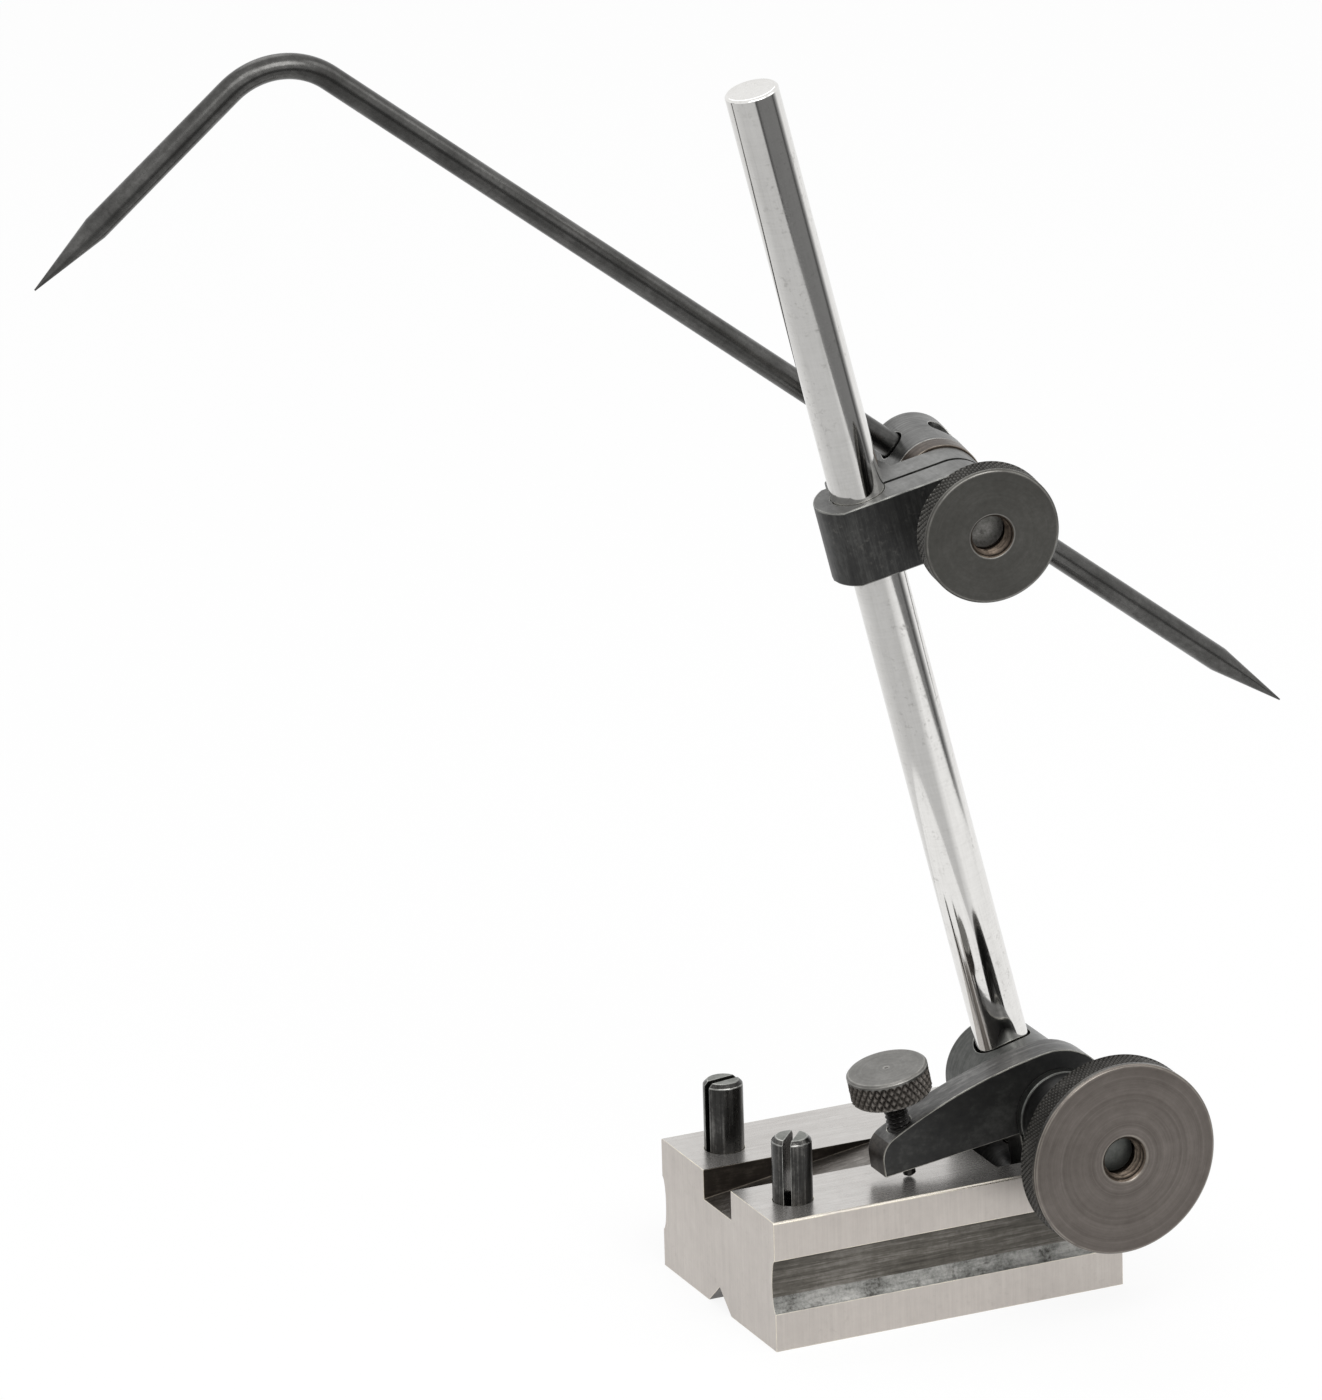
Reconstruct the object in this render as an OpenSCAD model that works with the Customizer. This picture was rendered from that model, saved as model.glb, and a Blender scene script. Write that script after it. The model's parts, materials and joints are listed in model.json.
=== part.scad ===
// Surface gauge: a grooved steel base, a rocking arm with a fine adjusting screw, a swivelling
// spindle and a bent scriber held in a split clamp.
// Millimetres. The origin is the centre of the base's underside. +X runs to the rear, -Y is the
// side with the large knurled nut, +Z is up.

/* [Base] */
// Length of the base, front to rear
base_l = 71; // [66:0.5:80]
// Width of the base, side to side
base_w = 49.5; // [47:0.5:60]
// Height of the base
base_h = 25.4; // [24.6:0.2:30]
// Width of the V-groove along the underside
vee_w = 9.8; // [6:0.2:12]
// Depth of the V-groove
vee_depth = 4.2; // [2:0.1:5]
// Height of the lower edge of the long recess in each side
recess_low = 7.4; // [5:0.1:9]
// Height of the upper edge of that recess
recess_high = 17.8; // [14:0.1:20]
// Depth of the recess
recess_depth = 1.3; // [0.4:0.1:2]
// Chamfer along the long top edges of the base
base_chamfer = 0.3; // [0.2:0.1:1]
// Width of the slot that the lowered spindle lies in
slot_w = 12; // [11:0.5:16]
// Angle below level of the lowered spindle and of the slot's floor
slot_fall = 8.4; // [6:0.2:10]
// Space between the lowered spindle and the slot's floor
slot_gap = 0.6; // [0.3:0.1:1.5]
// Length of the well for the arm, from the rear face
well_l = 22.45; // [20:0.5:26]

/* [Guide pins] */
// Diameter of a guide pin
pin_d = 7.5; // [5:0.5:9]
// Height of the near guide pin above the base
pin_rise = 12.4; // [8:0.2:18]
// How much higher the far guide pin stands
far_pin_more = 1.1; // [0:0.1:2]
// Distance of the guide pins behind the front face
pin_inset = 8.5; // [6:0.5:12]
// Distance of each guide pin from the side of the base
pin_edge = 9.75; // [7:0.25:10.75]
// Width of the saw cut in a guide pin
pin_slit = 1.4; // [0.6:0.1:2]
// Length of that saw cut, from the top
pin_slit_l = 26; // [16:1:30]

/* [Rocking arm] */
// Thickness of the arm
arm_t = 6.6; // [5.5:0.1:8]
// Distance of the arm's middle plane from the side of the base
arm_inset = 9.75; // [8.75:0.05:10.05]
// Distance from the swivel axis to the arm's nose
arm_reach = 35.6; // [33.5:0.2:42]
// Radius of the arm's boss round the swivel axis
arm_boss_r = 11.8; // [11:0.2:14]
// Radius of the arm's crowned top edge
arm_crown_r = 97; // [80:1:130]
// Depth of the arm's straight underside below the swivel axis
arm_under = 2.3; // [1.5:0.1:3]
// Height of the arm's nose, before its top is rounded
nose_h = 5.95; // [5:0.05:7]
// Radius between the nose's front face and the crowned edge
nose_r = 4.5; // [3:0.1:5]
// Angle of the arm at rest, nose down
rest_tilt = 7.56; // [6.5:0.1:8.5]
// Width of the arm's leg that goes down into the well
leg_w = 15.6; // [12:0.2:17]
// Diameter of the pin that the arm rocks on
rocker_pin_d = 4; // [3:0.2:5]
// Depth of the rocking pin's axis below the base's top
rocker_pin_depth = 10.5; // [9.4:0.1:10.8]
// Distance of that axis from the rear face
rocker_pin_inset = 10.05; // [9:0.1:12]
// Distance of the swivel axis above the rocking pin, square to the arm
swivel_rise = 19.2; // [18.8:0.1:22]
// Distance of the swivel axis behind the rocking pin, along the arm
swivel_back = 2.5; // [0:0.1:4]

/* [Fine adjusting screw] */
// Distance from the swivel axis to the screw, along the arm
screw_reach = 29.7; // [27:0.2:31]
// Lean of the screw against the arm, head to the front
screw_rake = 3.7; // [0:0.1:5]
// Length of the screw over all
screw_l = 22.5; // [21:0.5:28]
// Diameter of the screw's thread
screw_d = 4.5; // [3:0.1:5]
// Diameter of the knurled head
head_d = 15.2; // [10:0.2:18]
// Height of the knurled head
head_h = 5.6; // [4:0.2:7]

/* [Swivel clamp] */
// Outer diameter of the swivel sleeve
sleeve_d = 20; // [18:0.2:21]
// Distance of the sleeve's far end from the mid-plane
sleeve_far = 8.5; // [8:0.1:12]
// Outer diameter of the stud's body inside the sleeve
stud_body_d = 14.9; // [14:0.1:16]
// Diameter of the stud's threaded shank
stud_d = 8; // [6:0.5:9]
// Distance of the large nut's outer face from the side of the base
nut_reach = 22.25; // [18.25:0.5:30.25]
// Outer diameter of the large knurled nut
nut_d = 36.7; // [30:0.5:42]
// Thickness of the nut's knurled disc
nut_disc_t = 6.3; // [4:0.1:9]
// Diameter of the nut's hub
hub_d = 19; // [15:0.5:24]
// Thickness of the washer under the hub
washer_t = 2.5; // [1:0.1:3]
// Depth of the stud's end inside the nut
stud_sink = 4.5; // [1:0.5:6]

/* [Spindle] */
// Diameter of the spindle
spindle_d = 10; // [8:0.5:10]
// Length of the spindle above the swivel axis
spindle_up = 204.7; // [190:1:260]
// Length of the spindle below the swivel axis
spindle_down = 11.5; // [10.8:0.1:12]
// Lean of the spindle to the front
spindle_lean = 13.66; // [5:0.5:25]

/* [Scriber clamp] */
// Height of the clamp's middle above the swivel axis, along the spindle
snug_at = 115.6; // [100:1:170]
// Turn of the clamp about the spindle
snug_turn = -7.5; // [-12:0.5:0]
// Height of the split clamp
snug_h = 15; // [13:0.5:18]
// Thickness of the split clamp across its two jaws
snug_t = 13.5; // [12.5:0.1:15]
// Outer diameter of the clamp round the spindle
snug_boss_d = 16.8; // [15.5:0.2:20]
// Distance from the spindle's axis to the clamp's bolt
bolt_reach = 17.2; // [16.8:0.1:20]
// Width of the clamp's slit
snug_slit = 0.9; // [0.6:0.1:1.4]
// Reach of the clamp's ear behind the spindle, from the slit
ear_reach = 13; // [10:0.2:14]
// Diameter of the upper stud's shank
bolt_d = 7.8; // [6:0.2:8]
// Outer diameter of the scriber's sleeve and of its collar
holder_d = 15.8; // [14.6:0.1:16.4]
// Thickness of the collar between the clamp and the sleeve
collar_t = 3.9; // [2:0.1:5]
// Length of the scriber's sleeve
holder_l = 15.8; // [13:0.2:18]
// Diameter of the upper stud's body inside the sleeve
bolt_body_d = 11; // [10:0.2:11.4]
// Outer diameter of the small knurled nut
small_nut_d = 25.7; // [22:0.5:30]
// Distance of the small nut's outer face from the slit
small_nut_face = 22.1; // [20:0.5:28]
// Thickness of the small nut's knurled disc
small_disc_t = 5.1; // [3:0.1:6]
// Diameter of the small nut's hub
small_hub_d = 13.6; // [11:0.2:16]
// Diameter of the sleeve's second cross hole
spare_hole_d = 7.2; // [5:0.2:8]

/* [Scriber] */
// Diameter of the scriber
scriber_d = 4.76; // [4:0.2:5]
// Angle of the scriber below a line square to the spindle
scriber_fall = 51.8; // [40:1:65]
// Length from the clamp to the straight point
scriber_long = 89; // [70:1:110]
// Length from the clamp to the corner of the bend
scriber_back = 153.4; // [120:1:160]
// Length of the bent leg, from that corner
scriber_leg = 61.9; // [40:1:70]
// Turn of the bent leg
scriber_turn = 80; // [70:1:90]
// Radius of the bend, at the scriber's middle
bend_r = 14.5; // [10:0.5:18]
// Length of each point
point_l = 15.6; // [10:0.5:20]

/* [Spring] */
// Diameter of the spring's wire
wire_d = 0.6; // [0.5:0.05:0.7]
// Outer diameter of the spring
spring_d = 3.8; // [3.2:0.1:4]
// Number of the spring's turns
spring_turns = 6; // [4:1:6]
// Distance of the spring behind the rocking pin
spring_back = 6.7; // [6.4:0.1:6.8]

/* [Hidden] */
$fn = 96;

// Clearances, each on one side
run_gap = 0.05;     // a shaft in its bore
seat_gap = 0.05;    // two faces that meet
side_gap = 0.15;    // the arm beside the well's wall
hole_gap = 0.4;     // a cross hole round a rod that the stud holds
over = 1;           // how far a cut runs past its face

// Small edges
edge = 0.4;         // chamfer on turned rods and discs
nut_edge = 0.6;     // chamfer round a nut's outer face
sink_edge = 1;      // countersink of a nut's thread
hub_neck = 1.2;     // how much less the radius of the large nut's hub is over the base
neck_room = 0.8;    // from the base's side out to that neck's end
tip_r = 0.15;       // blunt end of a scriber's point
bend_lap = 0.6;     // degrees that the scriber's bend runs into its straight parts
bend_ease = 0.04;   // how much thinner the bend is than they are
end_wall = 2.4;     // closed end of a sleeve, at the clamp's side
leg_room = 1.1;     // between the end of the arm's leg and the well's floor
spring_hole_l = 4.4; // depth of the spring's hole in that floor
tail_h = 3.4;       // arm's tail over the spring
tail_w = 6;
tail_end = 9;       // end of the tail behind the rocking pin
tube_d = 10;        // cross tube on the rocking pin
leg_end_r = 5.4;    // end of the arm's leg round the pin
leg_taper_share = 0.55; // where the leg starts to narrow, as a share of its drop
well_spare = 1.5;   // room in the well beyond the sleeve's far end
pin_foot = 0.5;     // guide pin's lower end above the underside
near_slit_turn = 50; // how far each guide pin has turned, by its saw cut
far_slit_turn = 10;
rocker_pin_in = 6;  // length of the rocking pin inside the far wall
crown_steps = 14;
boss_steps = 20;
nose_steps = 8;
recess_steps = 14;

// Places across the base, from its sides
pin_side = base_w/2 - pin_edge;
arm_side = base_w/2 - arm_inset;
nut_face = base_w/2 + nut_reach;

// The rocking pin, in the base's frame
pin_x = base_l/2 - rocker_pin_inset;
rocker_pin_z = base_h - rocker_pin_depth;
well_floor = rocker_pin_z - leg_end_r - leg_room;
spring_seat = well_floor - spring_hole_l;

// The swivel axis, carried by the arm
swivel_x = pin_x + swivel_back*cos(rest_tilt) - swivel_rise*sin(rest_tilt);
swivel_z = rocker_pin_z + swivel_back*sin(rest_tilt) + swivel_rise*cos(rest_tilt);

// Faces of the arm and of the well across the base
arm_near = -arm_side - arm_t/2;
arm_far = -arm_side + arm_t/2;
well_near = arm_near - side_gap;
well_far = sleeve_far + well_spare;
sleeve_near = arm_far + 2*seat_gap;

// Crowned top edge: an arc that touches the boss and ends at the nose, in a smaller arc
crown_c = crown_centre([-arm_reach, nose_h - arm_under], arm_crown_r, arm_boss_r);
nose_x = nose_r - arm_reach;
nose_c = [nose_x, crown_c[1] + sqrt(pow(arm_crown_r - nose_r, 2) - pow(nose_x - crown_c[0], 2))];

// Centre of the arc of radius r through p that holds the circle of radius b round zero
function crown_centre(p, r, b) =
    let (d = r - b, k = (d*d - r*r + p*p)/2, m = norm(p), along = k/m,
         across = sqrt(d*d - along*along), u = p/m)
    [along*u[0] - across*u[1], along*u[1] + across*u[0]];

crown_from = atan2(nose_c[1] - crown_c[1], nose_c[0] - crown_c[0]);
crown_to = atan2(-crown_c[1], -crown_c[0]);
boss_end = asin(leg_w/2/arm_boss_r);
screw_lean = rest_tilt + screw_rake;
arm_pin = [-swivel_back, -swivel_rise];

// The screw's ball end stands on the base
screw_root_z = swivel_z - screw_reach*sin(rest_tilt);
screw_drop = (screw_root_z - base_h - 2*seat_gap - screw_d/2)/cos(screw_lean) + screw_d/2;

// Scriber clamp, along the bolt from the slit
jaw = snug_t/2;
collar_from = jaw + seat_gap;
holder_from = collar_from + collar_t + seat_gap;
holder_to = holder_from + holder_l;
scriber_at = holder_from + holder_l/2;

// Spring between its hole's floor and the arm's tail
spring_x = pin_x + spring_back;
spring_y = arm_far + spring_d;
spring_low = spring_seat + wire_d/2 + seat_gap;
spring_high = rocker_pin_z - tail_h/2 - wire_d/2 - seat_gap;
spring_mid_r = (spring_d - wire_d)/2;
spring_rings = 8;
spring_sides = 6;

module in_arm() {
    translate([swivel_x, 0, swivel_z]) rotate([0, -rest_tilt, 0]) children();
}

module in_spindle() {
    translate([swivel_x, 0, swivel_z]) rotate([0, -spindle_lean, 0]) children();
}

module in_snug() {
    in_spindle() translate([0, 0, snug_at]) rotate([0, 0, snug_turn]) children();
}

module in_bolt() {
    in_snug() translate([bolt_reach, 0, 0]) children();
}

// The scriber's own frame: +X to its straight point, -Z to the side that it is bent to
module in_scriber() {
    in_bolt() translate([0, scriber_at, 0]) rotate([0, scriber_fall, 0]) children();
}

// A body of revolution about Y, from [distance along Y, radius] points
module turned(points) {
    rotate([-90, 0, 0]) rotate_extrude() polygon([for (p = points) [p[1], p[0]]]);
}

// A cylinder along Y
module rod_y(from, to, d) {
    translate([0, from, 0]) rotate([-90, 0, 0]) cylinder(d = d, h = to - from);
}

// A rod along Z with chamfered ends
module rod_z(from, to, d, c) {
    rotate_extrude() polygon([[0, from], [d/2 - c, from], [d/2, from + c],
                              [d/2, to - c], [d/2 - c, to], [0, to]]);
}

// The base's cross-section, with a hollow along each side
module base_profile() {
    w = base_w/2;
    mid = (recess_low + recess_high)/2;
    half = (recess_high - recess_low)/2;
    hollow = [for (i = [0:recess_steps])
        let (a = 180*i/recess_steps)
        [w - recess_depth*sin(a), mid - half*cos(a)]];
    side = concat([[vee_w/2, 0], [w, 0]], hollow,
                  [[w, base_h - base_chamfer], [w - base_chamfer, base_h]]);
    n = len(side);
    polygon(concat(side, [for (i = [n - 1:-1:0]) [-side[i][0], side[i][1]]], [[0, vee_depth]]));
}

module lowered_slot() {
    translate([swivel_x, 0, swivel_z]) rotate([0, -90 - slot_fall, 0])
        translate([-spindle_d/2 - slot_gap, -slot_w/2, 0]) cube([base_h, slot_w, base_l]);
}

module base() {
    color("dimgray") difference() {
        translate([-base_l/2, 0, 0]) rotate([90, 0, 90]) linear_extrude(base_l) base_profile();
        lowered_slot();
        translate([base_l/2 - well_l, well_near, well_floor])
            cube([well_l + over, well_far - well_near, base_h]);
        for (side = [-1, 1])
            translate([-base_l/2 + pin_inset, side*pin_side, -over])
                cylinder(d = pin_d + 2*run_gap, h = base_h + 2*over);
        translate([pin_x, 0, rocker_pin_z])
            rod_y(-base_w/2 - over, well_far + rocker_pin_in, rocker_pin_d + run_gap);
        translate([spring_x, spring_y, spring_seat])
            cylinder(d = spring_d + 4*run_gap, h = spring_hole_l + over);
    }
}

module guide_pin(side, rise, slit_turn) {
    color("darkslategray") translate([-base_l/2 + pin_inset, side*pin_side, 0]) difference() {
        rod_z(rise + pin_foot - pin_rise, base_h + rise, pin_d, 2*edge);
        rotate([0, 0, slit_turn])
            translate([-pin_d, -pin_slit/2, base_h + rise - pin_slit_l])
                cube([2*pin_d, pin_slit, pin_slit_l + over]);
    }
}

module guide_pin_near() {
    guide_pin(-1, pin_rise, near_slit_turn);
}

module guide_pin_far() {
    guide_pin(1, pin_rise + far_pin_more, far_slit_turn);
}

// Side view of the arm, with the swivel axis at zero and the nose to the left
module arm_profile() {
    leg_from = -arm_under - leg_taper_share*(swivel_rise - arm_under);
    leg_end = [for (i = [0:boss_steps]) arm_pin + leg_end_r*[cos(180*i/boss_steps),
                                                            -sin(180*i/boss_steps)]];
    nose = [for (i = [0:nose_steps - 1])
        let (a = 180 + (crown_from - 180)*i/nose_steps)
        nose_c + nose_r*[cos(a), sin(a)]];
    crown = [for (i = [0:crown_steps])
        let (a = crown_from + (crown_to - crown_from)*i/crown_steps)
        crown_c + arm_crown_r*[cos(a), sin(a)]];
    boss = [for (i = [1:boss_steps])
        let (a = crown_to - (crown_to + 90 - boss_end)*i/boss_steps)
        arm_boss_r*[cos(a), sin(a)]];
    polygon(concat([[-arm_reach, -arm_under]], nose, crown, boss,
                   [[leg_w/2, leg_from]], leg_end,
                   [[-leg_w/2, leg_from], [-leg_w/2, -arm_under]]));
}

module rocker_arm() {
    color([0.13, 0.13, 0.14]) difference() {
        union() {
            in_arm() translate([0, arm_far, 0]) rotate([90, 0, 0])
                linear_extrude(arm_t) arm_profile();
            translate([pin_x, 0, rocker_pin_z]) {
                rod_y(-arm_side, well_far - side_gap, tube_d);
                translate([0, -arm_side, -tail_h/2])
                    cube([tail_end, arm_t/2 + tail_w, tail_h]);
            }
        }
        in_arm() rod_y(arm_near - over, arm_far + over, stud_d + 2*run_gap);
        in_arm() translate([-screw_reach, -arm_side, 0]) rotate([0, -screw_rake, 0])
            translate([0, 0, -screw_l]) cylinder(d = screw_d + 2*run_gap, h = 2*screw_l);
        translate([pin_x, 0, rocker_pin_z])
            rod_y(arm_near - over, well_far + over, rocker_pin_d + 2*run_gap);
    }
}

module rocker_pin() {
    color("silver") translate([pin_x, 0, rocker_pin_z])
        rod_y(-base_w/2 + recess_depth, well_far + rocker_pin_in - seat_gap, rocker_pin_d);
}

function coil_point(i) =
    let (turn = i/spring_rings, n = spring_turns)
    [spring_mid_r*cos(360*turn), spring_mid_r*sin(360*turn),
     spring_low + (spring_high - spring_low)*turn/n];

coil = [for (i = [0:spring_turns*spring_rings]) coil_point(i)];

module rocker_spring() {
    last = len(coil) - 1;
    pitch = (spring_high - spring_low)/spring_turns;
    climb = atan2(pitch, 2*PI*spring_mid_r);
    points = [for (i = [0:last], k = [0:spring_sides - 1])
        let (turn = 360*i/spring_rings, a = 360*k/spring_sides,
             out = [cos(turn), sin(turn), 0],
             side = [sin(turn)*sin(climb), -cos(turn)*sin(climb), cos(climb)])
        coil[i] + wire_d/2*(cos(a)*out + sin(a)*side)];
    wall = [for (i = [0:last - 1], k = [0:spring_sides - 1], half = [0, 1])
        let (a = i*spring_sides + k, b = i*spring_sides + (k + 1) % spring_sides)
        half == 0 ? [a, a + spring_sides, b] : [b, a + spring_sides, b + spring_sides]];
    start = [for (k = [1:spring_sides - 2]) [0, k, k + 1]];
    top = last*spring_sides;
    end = [for (k = [1:spring_sides - 2]) [top, top + k + 1, top + k]];
    color("gray") translate([spring_x, spring_y, 0])
        polyhedron(points = points, faces = concat(wall, start, end));
}

least_pitch = min([for (i = [0:len(coil) - 1], j = [i + spring_rings/2:1:len(coil) - 1])
    norm(coil[i] - coil[j])]);
echo(str("Spring: least gap between turns ", least_pitch - wire_d));

module fine_adjust_screw() {
    head = screw_l - screw_drop;
    color([0.2, 0.2, 0.21]) in_arm() translate([-screw_reach, -arm_side, 0])
        rotate([0, -screw_rake, 0]) {
            translate([0, 0, screw_d/2 - screw_drop]) sphere(d = screw_d);
            translate([0, 0, screw_d/2 - screw_drop])
                cylinder(d = screw_d, h = screw_l - screw_d/2 - head_h/2);
            rod_z(head - head_h, head, head_d, edge);
        }
}

module swivel_sleeve() {
    color([0.35, 0.35, 0.34]) in_spindle() difference() {
        turned([[sleeve_near, 0], [sleeve_near, sleeve_d/2 - edge],
                [sleeve_near + edge, sleeve_d/2], [sleeve_far - edge, sleeve_d/2],
                [sleeve_far, sleeve_d/2 - edge], [sleeve_far, 0]]);
        rod_y(sleeve_near + end_wall, sleeve_far + over, stud_body_d + 2*run_gap);
        rod_y(sleeve_near - over, sleeve_far, stud_d + 2*run_gap);
        translate([0, 0, -sleeve_d]) cylinder(d = spindle_d + 2*hole_gap, h = 2*sleeve_d);
    }
}

module swivel_stud() {
    body_from = sleeve_near + end_wall + 2*seat_gap;
    body_to = sleeve_far - edge;
    end = -nut_face + stud_sink;
    color([0.4, 0.4, 0.4]) in_spindle() difference() {
        turned([[end, 0], [end, stud_d/2 - edge], [end + edge, stud_d/2],
                [body_from, stud_d/2], [body_from, stud_body_d/2 - edge],
                [body_from + edge, stud_body_d/2], [body_to - edge, stud_body_d/2],
                [body_to, stud_body_d/2 - edge], [body_to, 0]]);
        translate([0, 0, -sleeve_d]) cylinder(d = spindle_d + 2*run_gap, h = 2*sleeve_d);
    }
}

module swivel_washer() {
    from = arm_near - seat_gap - washer_t;
    r = hub_d/2 - hub_neck;
    color([0.25, 0.25, 0.25]) in_spindle() difference() {
        turned([[from, 0], [from, r - edge], [from + edge, r], [from + washer_t - edge, r],
                [from + washer_t, r - edge], [from + washer_t, 0]]);
        rod_y(from - over, arm_near + over, stud_d + 2*run_gap);
    }
}

// A knurled nut: a disc at its outer end and a hub that reaches to the clamp, with a thinner
// neck at its end
module knurled_nut(face, disc_d, disc_t, hub_d, hub_end, neck_l, neck, thread_d) {
    neck_from = hub_end - neck_l;
    difference() {
        turned([[face, 0], [face, disc_d/2 - nut_edge], [face + nut_edge, disc_d/2],
                [face + disc_t - edge, disc_d/2], [face + disc_t, disc_d/2 - edge],
                [face + disc_t, hub_d/2], [neck_from - neck, hub_d/2],
                [neck_from, hub_d/2 - neck], [hub_end, hub_d/2 - neck], [hub_end, 0]]);
        rod_y(face - over, hub_end + over, thread_d + 2*run_gap);
        turned([[face - over, 0], [face - over, thread_d/2 + sink_edge + over],
                [face + sink_edge, thread_d/2], [face + sink_edge, 0]]);
    }
}

module swivel_nut() {
    hub_end = arm_near - 2*seat_gap - washer_t;
    color([0.42, 0.4, 0.38]) in_spindle()
        knurled_nut(-nut_face, nut_d, nut_disc_t, hub_d, hub_end, hub_end + base_w/2 + neck_room,
                    hub_neck, stud_d);
}

module spindle() {
    color("gainsboro") in_spindle() rod_z(-spindle_down, spindle_up, spindle_d, edge);
}

// The split clamp, its bore at zero and its jaws to the right
module snug() {
    ear_from = 0.2*snug_boss_d;
    ear_to = bolt_reach - holder_d/2 - hole_gap;
    color([0.3, 0.3, 0.3]) in_snug() difference() {
        union() {
            intersection() {
                translate([0, 0, -snug_h/2]) cylinder(d = snug_boss_d, h = snug_h);
                translate([-snug_boss_d, -jaw, -snug_h]) cube([2*snug_boss_d, snug_t, 2*snug_h]);
            }
            translate([0, -jaw, -snug_h/2]) cube([bolt_reach, snug_t, snug_h]);
            translate([bolt_reach, 0, 0]) rod_y(-jaw, jaw, snug_h);
            translate([0, 0, -snug_h/2]) linear_extrude(snug_h)
                polygon([[-ear_from, 0], [-ear_from, ear_reach - ear_from],
                         [0, ear_reach], [ear_to - ear_from/2, ear_reach], [ear_to, jaw],
                         [ear_to, 0]]);
        }
        translate([0, 0, -snug_h]) cylinder(d = spindle_d + 2*run_gap, h = 2*snug_h);
        translate([0, -snug_slit/2, -snug_h]) cube([2*bolt_reach, snug_slit, 2*snug_h]);
        translate([bolt_reach, 0, 0]) rod_y(-jaw - over, jaw + over, bolt_d + 2*run_gap);
    }
}

module snug_stud() {
    body_from = holder_from + end_wall + 2*seat_gap;
    body_to = holder_to - edge;
    end = -small_nut_face + stud_sink;
    color([0.4, 0.4, 0.4]) in_bolt() difference() {
        turned([[end, 0], [end, bolt_d/2 - edge], [end + edge, bolt_d/2],
                [body_from, bolt_d/2], [body_from, bolt_body_d/2 - edge],
                [body_from + edge, bolt_body_d/2], [body_to - edge, bolt_body_d/2],
                [body_to, bolt_body_d/2 - edge], [body_to, 0]]);
        translate([0, scriber_at, 0]) rotate([0, scriber_fall + 90, 0])
            translate([0, 0, -holder_d]) cylinder(d = scriber_d + 2*run_gap, h = 2*holder_d);
    }
}

module scriber_collar() {
    color([0.2, 0.17, 0.15]) in_bolt() difference() {
        rod_y(collar_from, collar_from + collar_t, holder_d);
        rod_y(collar_from - over, holder_from + over, bolt_d + 2*run_gap);
    }
}

module scriber_sleeve() {
    color([0.3, 0.3, 0.3]) in_bolt() difference() {
        turned([[holder_from, 0], [holder_from, holder_d/2], [holder_to - edge, holder_d/2],
                [holder_to, holder_d/2 - edge], [holder_to, 0]]);
        rod_y(holder_from + end_wall, holder_to + over, bolt_body_d + 2*run_gap);
        rod_y(holder_from - over, holder_to, bolt_d + 2*run_gap);
        translate([0, scriber_at, 0]) rotate([0, scriber_fall, 0]) {
            rotate([0, 90, 0]) translate([0, 0, -holder_d])
                cylinder(d = scriber_d + 2*hole_gap, h = 2*holder_d);
            translate([0, 0, -holder_d]) cylinder(d = spare_hole_d, h = 2*holder_d);
        }
    }
}

module snug_nut() {
    color([0.3, 0.3, 0.29]) in_bolt()
        knurled_nut(-small_nut_face, small_nut_d, small_disc_t, small_hub_d, -jaw - seat_gap,
                    edge, edge, bolt_d);
}

// A pointed rod along Z, its blunt end at zero
module pointed_rod(length) {
    r = scriber_d/2;
    rotate_extrude() polygon([[0, 0], [r, 0], [r, length - point_l], [tip_r, length], [0, length]]);
}

// Bent rod: a long straight part, a bend and a leg, with a point at each end. The bend's ends
// run a little way into the straight parts.
module scriber() {
    bend_start = bend_r*tan(scriber_turn/2);
    color([0.28, 0.28, 0.29]) in_scriber() translate([-scriber_back + bend_start, 0, -bend_r]) {
        translate([0, 0, bend_r]) rotate([0, 90, 0])
            pointed_rod(scriber_back - bend_start + scriber_long);
        rotate([90, 0, 0]) rotate([0, 0, 90 - bend_lap])
            rotate_extrude(angle = scriber_turn + 2*bend_lap)
                translate([bend_r, 0]) circle(d = scriber_d - bend_ease);
        rotate([0, -scriber_turn, 0]) translate([0, 0, bend_r]) rotate([0, -90, 0])
            pointed_rod(scriber_leg - bend_start);
    }
}

base();
guide_pin_near();
guide_pin_far();
rocker_arm();
rocker_pin();
rocker_spring();
fine_adjust_screw();
swivel_sleeve();
swivel_stud();
swivel_washer();
swivel_nut();
spindle();
snug();
snug_stud();
scriber_collar();
scriber_sleeve();
snug_nut();
scriber();
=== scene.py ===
import json
import math

import bmesh
import bpy
from mathutils import Matrix, Vector

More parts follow.
